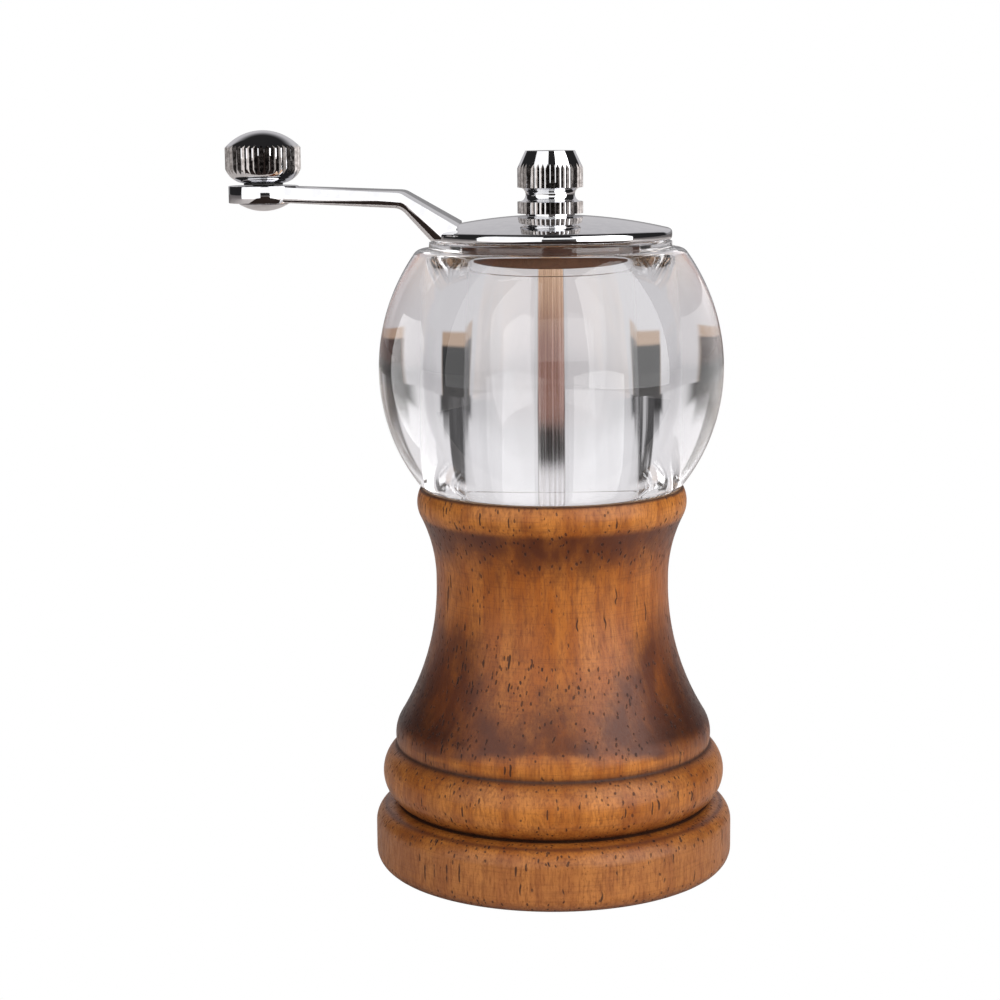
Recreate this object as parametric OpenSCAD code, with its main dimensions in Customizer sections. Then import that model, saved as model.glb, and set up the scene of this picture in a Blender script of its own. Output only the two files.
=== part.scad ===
// Hand crank pepper mill: turned wooden base, clear acrylic hopper, plated crank cover.
// Millimetres. The origin is the centre of the foot, +Z is up and the crank arm points along -X.

/* [Wooden base] */
// Height of the wooden base from the foot to its top face
base_h = 64.4; // [61:0.1:70]
// Widest diameter, at the foot ring
foot_d = 60; // [58:0.1:66]
// Height of the foot ring
foot_ring_h = 11; // [10.8:0.1:12]
// Radius of the foot ring's lower edge
foot_edge_r = 3; // [1:0.1:4]
// Radius of the foot ring's upper edge
foot_shoulder_r = 3.5; // [1:0.1:4]
// Widest diameter of the bead above the foot ring
bead_d = 57.4; // [55:0.1:59]
// Radius of the bead's round
bead_r = 5.8; // [5.3:0.1:6]
// Height of the bead's middle
bead_z = 16.2; // [16:0.1:16.4]
// Diameter of the flare's lower edge
flare_d = 53; // [50:0.1:55]
// Radius of the flare's lower edge
flare_edge_r = 6; // [5:0.1:7]
// Height of the flare's widest point
flare_z = 22.6; // [22:0.1:24]
// Diameter of the waist
waist_d = 38.7; // [37:0.1:41]
// Height of the lower end of the waist
waist_z = 48; // [44:0.1:50]
// Length of the straight waist
waist_len = 1; // [0.5:0.1:3]
// Widest diameter of the lip under the hopper
lip_d = 44.8; // [43:0.1:48]
// Radius of the lip's round
lip_r = 5; // [4:0.1:6]
// Depth of the lip's widest point below the top face
lip_drop = 2.4; // [1:0.1:3.5]

/* [Clear hopper] */
// Height of the hopper from the wood to its shoulder
body_h = 39.3; // [34:0.1:46]
// Widest diameter of the hopper
body_d = 56.8; // [50:0.1:62]
// Height of the widest point above the wood
belly_h = 19.6; // [16:0.1:23]
// Width of wood left showing round the hopper's foot
lip_margin = 1.1; // [0.5:0.1:2]
// Radius of the hopper's lower edge
body_edge_r = 1.5; // [0.5:0.1:2]
// Radius of the hopper's shoulder
shoulder_r = 1.5; // [0.5:0.1:1.8]
// Width of the shoulder outside the cover
shoulder_w = 2; // [1.5:0.1:3]
// Height of the neck that carries the cover
neck_h = 1.1; // [0.8:0.1:3]
// Diameter of the bore
bore_d = 29; // [24:0.1:31]
// Widening of the bore at both ends, on the diameter
relief = 0.6; // [0.4:0.1:1.2]
// Depth of the wider mouth below the plug
mouth_spare = 0.8; // [0.4:0.1:4]
// Depth of the wider end above the wood
sump_l = 3.6; // [2:0.1:6]
// Diameter of the spigot glued into the wood
spigot_d = 35; // [33:0.1:37]
// Length of the spigot
spigot_l = 5; // [3:0.1:8]

/* [Crank cover] */
// Diameter of the cover
cover_d = 39.7; // [37:0.1:43]
// Height of the dome's apex above the cover's lower edge
cover_h = 4.2; // [4.2:0.1:6]
// Radius of the dome
dome_r = 84; // [70:1:110]
// Radius of the rim's lower edge
rim_low_r = 0.8; // [0.5:0.1:1.2]
// Radius of the rim's upper edge
rim_top_r = 0.6; // [0.3:0.1:0.8]
// Width of the rim that rests over the neck
rim_w = 2.4; // [1.5:0.1:3]
// Depth of the hollow under the cover
cover_hollow = 1.6; // [1:0.1:1.8]
// Diameter of the hub under the cover
cover_hub_d = 11; // [9:0.1:14]
// Length of the hub below the cover's edge
cover_hub_l = 2; // [1:0.1:3.5]
// Length of the plug below the cover's edge
plug_l = 5.4; // [4.6:0.1:6.4]

/* [Crank arm and knob] */
// Distance from the mill's axis to the knob's axis
crank_r = 46.8; // [40:0.1:56]
// Thickness of the arm
arm_t = 2.5; // [2:0.1:4]
// Distance from the axis to the arm's bend
arm_bend_u = 24; // [23:0.1:29]
// Height of the bend above the dome's apex
arm_bend_h = 4; // [3:0.1:7]
// Rise of the arm from the bend to the knob, in degrees
arm_tilt = 2.7; // [0:0.1:6]
// Length of arm that overlaps the cover
arm_overlap = 5; // [3:0.1:7]
// Width of the arm at the cover
arm_root_w = 20; // [14:0.1:24]
// Width of the arm beside the knob
arm_tip_w = 8.6; // [6:0.1:10]
// Radius of the arm's bends
bend_r = 2.5; // [1:0.1:4]
// Diameter of the round end that carries the knob
boss_d = 11.4; // [10:0.1:13]
// Diameter of the knob
knob_d = 12.3; // [10:0.1:16]
// Height of the knob's knurled band
knob_band_h = 3.4; // [2:0.1:6]
// Height of the domed top above the band
knob_cap_h = 2.8; // [1.5:0.1:4]
// Height of the curved underside below the band
knob_under_h = 2.3; // [1.5:0.1:3]
// Diameter of the knob's lower face
knob_foot_d = 6.8; // [6.5:0.1:9]
// Number of knurls round the knob
knob_knurls = 40; // [24:1:60]
// Diameter of the rivet that holds the knob
knob_pin_d = 3.5; // [2.5:0.1:4.5]
// Depth of the rivet inside the knob
knob_pin_l = 5; // [3:0.1:6.5]
// Diameter of the rivet's domed head
knob_head_d = 8.2; // [6:0.1:10]
// Height of the rivet's domed head
knob_head_h = 1.2; // [0.8:0.1:2]
// Diameter of the washer under the knob
knob_washer_d = 6.4; // [5:0.1:8]
// Thickness of the washer under the knob
knob_washer_t = 0.3; // [0.3:0.1:1]

/* [Adjusting nut] */
// Diameter of the nut's knurled bands
nut_d = 10.7; // [9:0.1:13]
// Height of the plain foot under the lower band
nut_foot_h = 0.4; // [0.3:0.1:1]
// Height of the lower knurled band
nut_low_h = 1.9; // [1.5:0.1:4]
// Height of the round groove between the bands
nut_neck_h = 2.3; // [1.5:0.1:4]
// Diameter at the bottom of that groove and of the foot
nut_neck_d = 8; // [7:0.1:9]
// Height of the upper knurled band
nut_up_h = 3.1; // [2:0.1:5]
// Height of the cone above the upper band
nut_cone_h = 2.8; // [2:0.1:5]
// Diameter of the flat top
nut_top_d = 8.1; // [6:0.1:9]
// Number of knurls round the nut
nut_knurls = 40; // [24:1:60]
// Depth of the knurls on nut and knob
knurl_depth = 0.4; // [0.2:0.05:0.45]

/* [Shaft] */
// Width of the square shaft across its flats
shaft_w = 4.4; // [3.8:0.1:5]
// Diameter of the thread at its top
thread_d = 4; // [3:0.1:4.2]
// Length of thread inside the nut
thread_l = 7; // [5:0.1:8]
// Length of square that is left inside the cover's top
square_below_top = 1.2; // [1:0.1:2]
// Width of the smaller square that carries the grinding cone
tail_w = 3.4; // [2.8:0.1:3.6]
// How far the shaft rises or falls when the nut turns
adjust_travel = 0.6; // [0.3:0.1:0.8]

/* [Grinding set] */
// Height of the retaining plate above the table
foot_clear = 2; // [1.8:0.1:3]
// Thickness of the retaining plate
plate_t = 1.2; // [0.8:0.1:2]
// Thickness of the housing's flange
flange_t = 1.8; // [1.2:0.1:3]
// Width of the housing's flange
flange_w = 5; // [4.5:0.1:6]
// Outer diameter of the housing
housing_d = 31; // [30.4:0.1:33]
// Wall of the housing round the grinding ring
housing_wall = 2; // [1.5:0.1:2.2]
// Height of the housing above its flange
housing_h = 19; // [18.4:0.1:21]
// Height of the grinding ring
ring_h = 13.8; // [12.6:0.1:14]
// Wall of the grinding ring at its upper rim, round the throat
ring_lip = 0.85; // [0.45:0.05:1.15]
// Wall of the grinding ring round the cone's widest part
ring_wall = 2.55; // [2.15:0.05:3.65]
// Number of spokes that carry the hub
spokes = 3; // [3:1:3]
// Width of a spoke
spoke_w = 3; // [2:0.1:4]
// Height of a spoke
spoke_h = 2.8; // [2:0.1:3.1]
// Height of the hub
hub_h = 6; // [5.9:0.1:6.6]
// Height of the hub's top above the housing
hub_rise = 2.4; // [1.9:0.1:2.7]
// Depth of the spokes' tops below the housing's top
spoke_drop = 0.4; // [0.2:0.1:0.7]
// Wall of the hub
hub_wall = 1.75; // [1.2:0.05:1.9]
// Wall of the bush at the shaft's corners
bush_wall = 1.2; // [0.8:0.1:1.4]
// Width of the bush's flange
bush_flange_w = 1.3; // [1:0.1:1.5]
// Thickness of the bush's flange
bush_flange_t = 1; // [0.8:0.1:1.5]
// Thickness of the washer between bush and hub
thrust_t = 0.5; // [0.3:0.1:1]
// Height of the cone's fine grinding band
fine_h = 4.2; // [3:0.1:5]
// Height of the cone's feed part above that band
feed_h = 5.6; // [4:0.1:6]
// Diameter of the cone's top
cone_top_d = 10.6; // [10.4:0.1:13]
// Change of radius for each millimetre of height in the fine band
burr_taper = 0.33; // [0.25:0.01:0.4]
// Gap between the grinding ring and the cone
burr_gap = 0.3; // [0.25:0.05:0.6]
// Number of fine teeth on the cone
cone_teeth = 30; // [20:1:36]
// Number of feed flutes on the cone
cone_flutes = 6; // [4:1:8]
// Number of teeth in the ring
ring_teeth = 24; // [16:1:30]
// Width of the square that cuts a tooth
tooth_s = 0.9; // [0.6:0.05:1.1]
// Slant of the teeth in degrees
tooth_skew = 18; // [0:1:25]
// Radius of a feed flute
flute_r = 1.7; // [1:0.1:2]
// Width across the corners of the cone's hexagon core
core_hex_d = 8.2; // [7.6:0.1:9]
// Thickness of the core's flange
core_flange_t = 0.8; // [0.6:0.1:1.5]
// Height of the spring between core and bush
spring_h = 4.8; // [4.6:0.1:6]
// Diameter of the spring wire
wire_d = 0.7; // [0.5:0.05:0.75]
// Number of turns in the spring
spring_turns = 3.5; // [3:0.25:3.5]
// Thickness of the washer under the cone
cone_washer_t = 0.6; // [0.4:0.1:0.8]
// Diameter of the washer under the cone
cone_washer_d = 7.2; // [6:0.1:8]
// Diameter of the cone screw's shank
cone_screw_d = 2; // [1.6:0.1:2.2]
// Length of the cone screw inside the shaft
cone_screw_l = 6; // [4:0.1:8]
// Diameter of the cone screw's head
cone_head_d = 5; // [4:0.1:6]
// Height of the cone screw's head
cone_head_h = 1.1; // [0.8:0.1:1.2]
// Diameter of the plate screws
plate_screw_d = 2.4; // [2:0.1:2.8]
// Length of the plate screws in the wood
plate_screw_l = 7; // [5:0.1:8]
// Diameter of the plate screws' heads
plate_head_d = 4.6; // [3.6:0.1:5]
// Height of the plate screws' heads
plate_head_h = 1; // [0.8:0.1:1.2]

/* [Clearances] */
// Radial clearance of a shaft that turns in a hole
run_fit = 0.05; // [0.02:0.01:0.08]
// Clearance of a square hole on each flat
square_fit = 0.08; // [0.05:0.01:0.15]
// Clearance between seated pieces of one body
seat_fit = 0.05; // [0.02:0.01:0.1]
// Clearance between pieces that turn past each other
turn_gap = 0.15; // [0.1:0.05:0.3]
// Clearance of a loose piece in its hole
loose_gap = 0.3; // [0.2:0.05:0.4]

/* [Hidden] */
$fn = 96;
arc_step = 4;
eps = 0.01;
hex_sides = 6;

// Heights of the stack, from the table up
plate_z = foot_clear;
flange_z = plate_z + plate_t;
recess_z = flange_z + flange_t;
housing_top = recess_z + housing_h;
body_top = base_h + body_h;
neck_top = body_top + neck_h;
cover_z = neck_top + turn_gap;
apex_z = cover_z + cover_h;
dome_z = apex_z - dome_r;
seat_r = nut_d / 2 + loose_gap;
cover_top = dome_z + sqrt(dome_r * dome_r - seat_r * seat_r);
hollow_z = cover_z + cover_hollow;
plug_z = cover_z - plug_l;
mouth_l = plug_l + mouth_spare;
nut_z = cover_top + run_fit;
nut_h = nut_foot_h + nut_low_h + nut_neck_h + nut_up_h + nut_cone_h;

// Radii of the base, the hopper and the cover
foot_r = foot_d / 2;
waist_r = waist_d / 2;
waist_top = waist_z + waist_len;
lip_z = base_h - lip_drop;
lip_top_a = asin(lip_drop / lip_r);
lip_top_r = lip_d / 2 - lip_r + lip_r * cos(lip_top_a);
body_r = body_d / 2;
body_foot_r = lip_top_r - lip_margin + body_edge_r / 2;
cover_r = cover_d / 2;
body_top_r = cover_r + shoulder_w;
bore_r = bore_d / 2;
wide_r = (bore_d + relief) / 2;
spigot_r = spigot_d / 2;
spigot_z = base_h - spigot_l;
socket_z = spigot_z - seat_fit;
plug_r = wide_r - loose_gap;

// Crank arm, measured along u, the distance from the axis towards the knob
arm_root_u = cover_r - arm_overlap;
arm_root_z = dome_z + sqrt(dome_r * dome_r - arm_root_u * arm_root_u);
arm_bend_z = apex_z + arm_bend_h;
arm_top_z = arm_bend_z + (crank_r - arm_bend_u) * tan(arm_tilt);
boss_z = arm_top_z - arm_t;
boss_r = boss_d / 2;
boss_under = boss_z - boss_r * tan(arm_tilt);
washer_z = arm_top_z + turn_gap;
knob_z = washer_z + knob_washer_t;
knob_r = knob_d / 2;
knob_h = knob_under_h + knob_band_h + knob_cap_h;
knob_pin_r = knob_pin_d / 2;

// Grinding set
housing_r = housing_d / 2;
flange_r = housing_r + flange_w;
screw_circle_r = housing_r + flange_w / 2;
ring_seat_r = housing_r - housing_wall;
ring_r = ring_seat_r - seat_fit;
ring_z = flange_z;
ring_top = ring_z + ring_h;
throat_r = ring_r - ring_lip;
shaft_corner_r = shaft_w / sqrt(2);
bush_r = shaft_corner_r + bush_wall;
hub_r = bush_r + hub_wall;
hub_top = housing_top + hub_rise;
hub_z = hub_top - hub_h;
thrust_z = hub_z - thrust_t - seat_fit;
bush_flange_r = bush_r + bush_flange_w;
bush_flange_z = thrust_z - seat_fit - bush_flange_t;
spring_z = bush_flange_z - seat_fit - spring_h;
core_top = spring_z - seat_fit;
cone_top = core_top - core_flange_t;
cone_z = cone_top - feed_h - fine_h;
fine_z = cone_z + fine_h;
cone_r = ring_r - ring_wall - burr_gap;
fine_r = cone_r - fine_h * burr_taper;
cone_top_r = cone_top_d / 2;
core_flange_r = cone_top_r - seat_fit;
spring_r = shaft_corner_r + loose_gap + wire_d;
cone_washer_z = cone_z - seat_fit - cone_washer_t;
cone_head_z = cone_washer_z - seat_fit - cone_head_h;
tail_z = cone_z + core_flange_t;
square_top = cover_top - square_below_top;
thread_top = nut_z + thread_l;

// Points on an arc from angle a0 to angle a1
function arc(c, r, a0, a1) =
    let (n = max(2, ceil(abs(a1 - a0) / arc_step)))
    [for (i = [0 : n]) c + r * [cos(a0 + (a1 - a0) * i / n), sin(a0 + (a1 - a0) * i / n)]];

// Points of a rounded corner at b between a and c
function corner(a, b, c, r) =
    let (
        p = (a - b) / norm(a - b),
        q = (c - b) / norm(c - b),
        half = acos(p * q) / 2,
        centre = b + (p + q) / norm(p + q) * r / sin(half),
        first = b + p * r / tan(half) - centre,
        last = b + q * r / tan(half) - centre,
        a0 = atan2(first[1], first[0]),
        turn = atan2(last[1], last[0]) - a0,
        short = turn > 180 ? turn - 360 : turn < -180 ? turn + 360 : turn
    )
    arc(centre, r, a0, a0 + short);

// Radius of a hollow curve that leaves a straight waist and runs into a round of radius l,
// whose centre lies a inside the waist and b along it
function hollow_r(a, b, l) = (a * a + b * b - l * l) / (2 * (l - a));

function angle_to(p, q) = atan2(q[1] - p[1], q[0] - p[0]);

// Outer crossing of two circles round p and q
function outer_crossing(p, rp, q, rq) =
    let (
        d = norm(q - p),
        along = (rp * rp - rq * rq + d * d) / (2 * d),
        across = sqrt(rp * rp - along * along),
        u = (q - p) / d
    )
    p + along * u + across * [abs(u[1]), -u[0] * sign(u[1])];

// Radius of an arc whose chord spans h along the axis and s across it
function bulge_r(h, s) = (h * h + s * s) / (2 * s);

// Square prism along the axis
module square_bar(w, z0, z1) {
    translate([-w / 2, -w / 2, z0])
        cube([w, w, z1 - z0]);
}

module disc(r, z0, z1) {
    translate([0, 0, z0])
        cylinder(r = r, h = z1 - z0);
}

// Star prism that leaves n upright ridges when crossed with a turned shape
module knurl_prism(r, n, h) {
    ridge = 180 / n;
    linear_extrude(height = h)
        polygon([
            for (i = [0 : 2 * n - 1])
                (r - (i % 2) * knurl_depth) * [cos(i * ridge), sin(i * ridge)]
        ]);
}

// Square bar laid along a cone's slope as a V cutter, slanted by skew
module tooth_cutters(n, r, z, slope, length, size, skew) {
    for (i = [0 : n - 1])
        rotate([0, 0, i * 360 / n])
            translate([r, 0, z])
                rotate([0, slope, 0])
                    rotate([skew, 0, 0])
                        rotate([0, 0, 45])
                            cube([size, size, length], center = true);
}

// Copies at equal steps round the axis, the first at angle start
module ring_of(n, r, start = 0) {
    for (i = [0 : n - 1])
        rotate([0, 0, start + i * 360 / n])
            translate([r, 0, 0])
                children();
}

module wood_base() {
    foot_c = [foot_r - foot_edge_r, foot_edge_r];
    shoulder_c = [foot_r - foot_shoulder_r, foot_ring_h - foot_shoulder_r];
    bead_c = [bead_d / 2 - bead_r, bead_z];
    flare_c = [flare_d / 2 - flare_edge_r, flare_z];
    lip_c = [lip_d / 2 - lip_r, lip_z];
    notch = outer_crossing(bead_c, bead_r, flare_c, flare_edge_r);
    low_r = hollow_r(waist_r - flare_c[0], waist_z - flare_z, flare_edge_r);
    low_c = [waist_r + low_r, waist_z];
    up_r = hollow_r(waist_r - lip_c[0], lip_z - waist_top, lip_r);
    up_c = [waist_r + up_r, waist_top];
    low_a = angle_to(flare_c, low_c);
    up_a = angle_to(up_c, lip_c);
    recess_r = flange_r + loose_gap;
    barrel_r = housing_r + turn_gap;
    barrel_top = housing_top + turn_gap;
    funnel_top = hub_top + loose_gap;
    outline = concat(
        [[recess_r, 0]],
        arc(foot_c, foot_edge_r, -90, 0),
        arc(shoulder_c, foot_shoulder_r, 0, 90),
        arc(bead_c, bead_r, asin((foot_ring_h - bead_z) / bead_r), angle_to(bead_c, notch)),
        arc(flare_c, flare_edge_r, angle_to(flare_c, notch), low_a),
        arc(low_c, low_r, 180 + low_a, 180),
        arc(up_c, up_r, 180, up_a),
        arc(lip_c, lip_r, up_a - 180, lip_top_a),
        [
            [spigot_r + seat_fit, base_h],
            [spigot_r + seat_fit, socket_z],
            [bore_r, socket_z],
            [bore_r, funnel_top],
            [throat_r, barrel_top],
            [barrel_r, barrel_top],
            [barrel_r, recess_z],
            [recess_r, recess_z],
        ]
    );
    color("sienna")
        difference() {
            rotate_extrude()
                polygon(outline);
            ring_of(spokes, screw_circle_r)
                disc(plate_screw_d / 2 + run_fit, recess_z - eps, recess_z + plate_screw_l + loose_gap);
        }
}

module clear_body() {
    low_r = bulge_r(belly_h, body_r - body_foot_r);
    up_r = bulge_r(body_h - belly_h, body_r - body_top_r);
    belly_z = base_h + belly_h;
    low_c = [body_r - low_r, belly_z];
    up_c = [body_r - up_r, belly_z];
    edge_z = base_h + body_edge_r;
    edge_reach = low_r - body_edge_r;
    edge_c = [low_c[0] + sqrt(pow(edge_reach, 2) - pow(edge_z - belly_z, 2)), edge_z];
    round_z = body_top - shoulder_r;
    round_reach = up_r - shoulder_r;
    round_c = [up_c[0] + sqrt(pow(round_reach, 2) - pow(round_z - belly_z, 2)), round_z];
    outline = concat(
        [[wide_r, spigot_z], [spigot_r, spigot_z], [spigot_r, base_h]],
        arc(edge_c, body_edge_r, -90, angle_to(low_c, edge_c)),
        arc(low_c, low_r, angle_to(low_c, edge_c), 0),
        arc(up_c, up_r, 0, angle_to(up_c, round_c)),
        arc(round_c, shoulder_r, angle_to(up_c, round_c), 90),
        [
            [cover_r, body_top],
            [cover_r, neck_top],
            [wide_r, neck_top],
            [wide_r, neck_top - mouth_l],
            [bore_r, neck_top - mouth_l],
            [bore_r, base_h + sump_l],
            [wide_r, base_h + sump_l],
        ]
    );
    color("whitesmoke", 0.35)
        rotate_extrude()
            polygon(outline);
}

module burr_housing() {
    hole_r = plate_screw_d / 2 + run_fit;
    spoke_l = throat_r + housing_wall / 2 - hub_r + hub_wall / 2;
    color("dimgray")
        difference() {
            union() {
                rotate_extrude()
                    polygon([
                        [ring_seat_r, flange_z],
                        [flange_r, flange_z],
                        [flange_r, recess_z],
                        [housing_r, recess_z],
                        [housing_r, housing_top],
                        [throat_r, housing_top],
                        [throat_r, ring_top + seat_fit],
                        [ring_seat_r, ring_top + seat_fit],
                    ]);
                disc(hub_r, hub_z, hub_top);
                ring_of(spokes, hub_r - hub_wall / 2, 180 / spokes)
                    translate([0, -spoke_w / 2, housing_top - spoke_drop - spoke_h])
                        cube([spoke_l, spoke_w, spoke_h]);
            }
            disc(bush_r + run_fit, hub_z - eps, hub_top + eps);
            ring_of(spokes, screw_circle_r)
                disc(hole_r, flange_z - eps, recess_z + eps);
        }
}

module burr_ring() {
    slope = atan(burr_taper);
    fine_top_z = fine_z + burr_gap;
    fine_top_r = fine_r + burr_gap;
    fine_low_r = fine_top_r + (fine_top_z - ring_z) * burr_taper;
    flare_slope = atan((throat_r - fine_top_r) / (ring_top - fine_top_z));
    flare_mid_z = (fine_top_z + ring_top) / 2;
    flare_mid_r = (fine_top_r + throat_r) / 2;
    color("ivory")
        difference() {
            rotate_extrude()
                polygon([
                    [fine_low_r, ring_z],
                    [ring_r, ring_z],
                    [ring_r, ring_top],
                    [throat_r, ring_top],
                    [fine_top_r, fine_top_z],
                ]);
            tooth_cutters(ring_teeth, (fine_low_r + fine_top_r) / 2, (ring_z + fine_top_z) / 2,
                -slope, fine_h + ring_h / 2, tooth_s, -tooth_skew);
            tooth_cutters(ring_teeth / 2, flare_mid_r, flare_mid_z,
                flare_slope, ring_top - fine_top_z, tooth_s, 0);
        }
}

module retaining_plate() {
    hole_r = plate_screw_d / 2 + run_fit;
    inner_r = cone_r + burr_gap + tooth_s;
    color("silver")
        difference() {
            disc(flange_r, plate_z, plate_z + plate_t);
            disc(inner_r, plate_z - eps, plate_z + plate_t + eps);
            ring_of(spokes, screw_circle_r)
                disc(hole_r, plate_z - eps, plate_z + plate_t + eps);
        }
}

// Pin with a smooth domed head below z and its shank above
module domed_pin(head_d, head_h, shank_d, z, shank_top) {
    head_r = head_d / 2;
    round_r = bulge_r(head_r, head_h);
    rotate_extrude()
        polygon(concat(
            [[shank_d / 2, z], [shank_d / 2, shank_top], [0, shank_top]],
            arc([0, z - head_h + round_r], round_r, -90, -90 + asin(head_r / round_r))
        ));
}

// The same with a cross slot in the head
module domed_screw(head_d, head_h, shank_d, z, shank_top) {
    slot_w = head_d / 6;
    slot_l = head_d / 2;
    slot_h = head_h / 2;
    difference() {
        domed_pin(head_d, head_h, shank_d, z, shank_top);
        for (a = [0, 90])
            rotate([0, 0, a])
                translate([-slot_l / 2, -slot_w / 2, z - head_h - eps])
                    cube([slot_l, slot_w, slot_h]);
    }
}

module plate_screws() {
    color("gray")
        ring_of(spokes, screw_circle_r)
            domed_screw(plate_head_d, plate_head_h, plate_screw_d, plate_z, recess_z + plate_screw_l);
}

module drive_bush() {
    color("white")
        difference() {
            union() {
                disc(bush_r, bush_flange_z, hub_top);
                disc(bush_flange_r, bush_flange_z, bush_flange_z + bush_flange_t);
            }
            square_bar(shaft_w + 2 * square_fit, bush_flange_z - eps, hub_top + eps);
        }
}

module thrust_washer() {
    color("silver")
        difference() {
            disc(bush_flange_r, thrust_z, thrust_z + thrust_t);
            disc(bush_r + seat_fit, thrust_z - eps, thrust_z + thrust_t + eps);
        }
}

// Coil spring: one tube swept along a helix
module grind_spring() {
    sides = 6;
    rings_per_turn = 16;
    n = ceil(spring_turns * rings_per_turn);
    rise = spring_h - wire_d;
    centre = [
        for (i = [0 : n])
            let (a = 360 * spring_turns * i / n)
            [spring_r * cos(a), spring_r * sin(a), spring_z + wire_d / 2 + rise * i / n]
    ];
    points = [
        for (i = [0 : n])
            let (a = 360 * spring_turns * i / n)
            for (k = [0 : sides - 1])
                let (b = 360 * k / sides)
                centre[i] + wire_d / 2 * [cos(b) * cos(a), cos(b) * sin(a), sin(b)]
    ];
    walls = [
        for (i = [0 : n - 1])
            for (k = [0 : sides - 1])
                let (
                    p = i * sides + k,
                    q = i * sides + (k + 1) % sides
                )
                each [[p, p + sides, q], [q, p + sides, q + sides]]
    ];
    first_cap = [for (k = [1 : sides - 2]) [0, k, k + 1]];
    last = n * sides;
    last_cap = [for (k = [1 : sides - 2]) [last, last + k + 1, last + k]];
    gaps = [
        for (i = [0 : n])
            for (j = [i + rings_per_turn / 2 : 1 : n])
                norm(centre[i] - centre[j]) - wire_d
    ];
    echo("least gap of the spring to itself, mm", min(gaps));
    color("lightsteelblue")
        polyhedron(points, concat(walls, first_cap, last_cap));
}

module drive_shaft() {
    bore_r = cone_screw_d / 2 + run_fit;
    color("lightgray")
        difference() {
            union() {
                square_bar(tail_w, tail_z, square_top);
                square_bar(shaft_w, core_top, square_top);
                disc(thread_d / 2, core_top, thread_top);
            }
            disc(bore_r, tail_z - eps, tail_z + cone_screw_l);
        }
}

module burr_cone() {
    slope = atan(burr_taper);
    feed_slope = atan((fine_r - cone_top_r) / feed_h);
    color("ivory")
        difference() {
            rotate_extrude()
                polygon([
                    [0, cone_z],
                    [cone_r, cone_z],
                    [fine_r, fine_z],
                    [cone_top_r, cone_top],
                    [0, cone_top],
                ]);
            tooth_cutters(cone_teeth, (cone_r + fine_r) / 2, (cone_z + fine_z) / 2,
                -slope, 2 * fine_h, tooth_s, tooth_skew);
            ring_of(cone_flutes, (fine_r + cone_top_r) / 2 + flute_r / 2)
                translate([0, 0, (fine_z + cone_top) / 2])
                    rotate([0, -feed_slope, 0])
                        rotate([tooth_skew, 0, 0])
                            cylinder(r = flute_r, h = 2 * feed_h, center = true);
            translate([0, 0, cone_z - eps])
                cylinder(r = core_hex_d / 2 + seat_fit, h = cone_top - cone_z + 2 * eps, $fn = hex_sides);
        }
}

module cone_core() {
    color("dimgray")
        difference() {
            union() {
                translate([0, 0, cone_z])
                    cylinder(r = core_hex_d / 2, h = cone_top - cone_z, $fn = hex_sides);
                disc(core_flange_r, cone_top, core_top - seat_fit);
            }
            square_bar(tail_w + 2 * square_fit, cone_z - eps, core_top);
        }
}

module cone_washer() {
    color("silver")
        difference() {
            disc(cone_washer_d / 2, cone_washer_z, cone_washer_z + cone_washer_t);
            disc(cone_screw_d / 2 + run_fit, cone_washer_z - eps, cone_washer_z + cone_washer_t + eps);
        }
}

module cone_screw() {
    color("gray")
        domed_screw(cone_head_d, cone_head_h, cone_screw_d, cone_washer_z - seat_fit,
            tail_z + cone_screw_l - loose_gap);
}

// Side outline of the arm, drawn along u to the left
module arm_side() {
    tip_u = crank_r;
    root = [-arm_root_u, arm_root_z];
    bend = [-arm_bend_u, arm_bend_z];
    tip = [-tip_u, arm_top_z];
    under_tip = [-tip_u, boss_z];
    under_bend = [-arm_bend_u, arm_bend_z - arm_t];
    rim = [-(cover_r - rim_low_r / 2), cover_z + rim_low_r];
    inside = [-arm_root_u, cover_z + rim_low_r];
    polygon(concat(
        [inside, root],
        corner(root, bend, tip, bend_r),
        [tip, under_tip],
        corner(under_tip, under_bend, rim, bend_r),
        [rim]
    ));
}

module crank_arm() {
    tip_u = crank_r - boss_r / 2;
    intersection() {
        rotate([90, 0, 0])
            linear_extrude(height = 2 * arm_root_w, center = true)
                arm_side();
        translate([0, 0, cover_z])
            linear_extrude(height = arm_top_z)
                polygon([
                    [-arm_root_u, -arm_root_w / 2],
                    [-arm_root_u, arm_root_w / 2],
                    [-tip_u, arm_tip_w / 2],
                    [-tip_u, -arm_tip_w / 2],
                ]);
    }
}

module crank_cover() {
    low_c = [cover_r - rim_low_r, cover_z + rim_low_r];
    top_u = cover_r - rim_top_r;
    top_c = [top_u, dome_z + sqrt(pow(dome_r - rim_top_r, 2) - top_u * top_u)];
    dome_c = [0, dome_z];
    top_a = angle_to(dome_c, top_c);
    hub_end = cover_z - cover_hub_l;
    outline = concat(
        [[0, hub_end], [cover_hub_d / 2, hub_end], [cover_hub_d / 2, cover_z]],
        arc(low_c, rim_low_r, -90, 0),
        arc(top_c, rim_top_r, 0, top_a),
        arc(dome_c, dome_r, top_a, acos(seat_r / dome_r)),
        [[0, cover_top]]
    );
    color("silver")
        difference() {
            union() {
                rotate_extrude()
                    polygon(outline);
                crank_arm();
                translate([-crank_r, 0, 0])
                    disc(boss_r, boss_under, arm_top_z);
            }
            rotate_extrude()
                polygon([
                    [cover_hub_d / 2, cover_z - eps],
                    [cover_r - rim_w, cover_z - eps],
                    [cover_r - rim_w, hollow_z],
                    [cover_hub_d / 2, hollow_z],
                ]);
            square_bar(shaft_w + 2 * square_fit, hub_end - eps, cover_top + eps);
            translate([-crank_r, 0, 0])
                disc(knob_pin_r + run_fit, boss_under - eps, arm_top_z + eps);
        }
}

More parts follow.
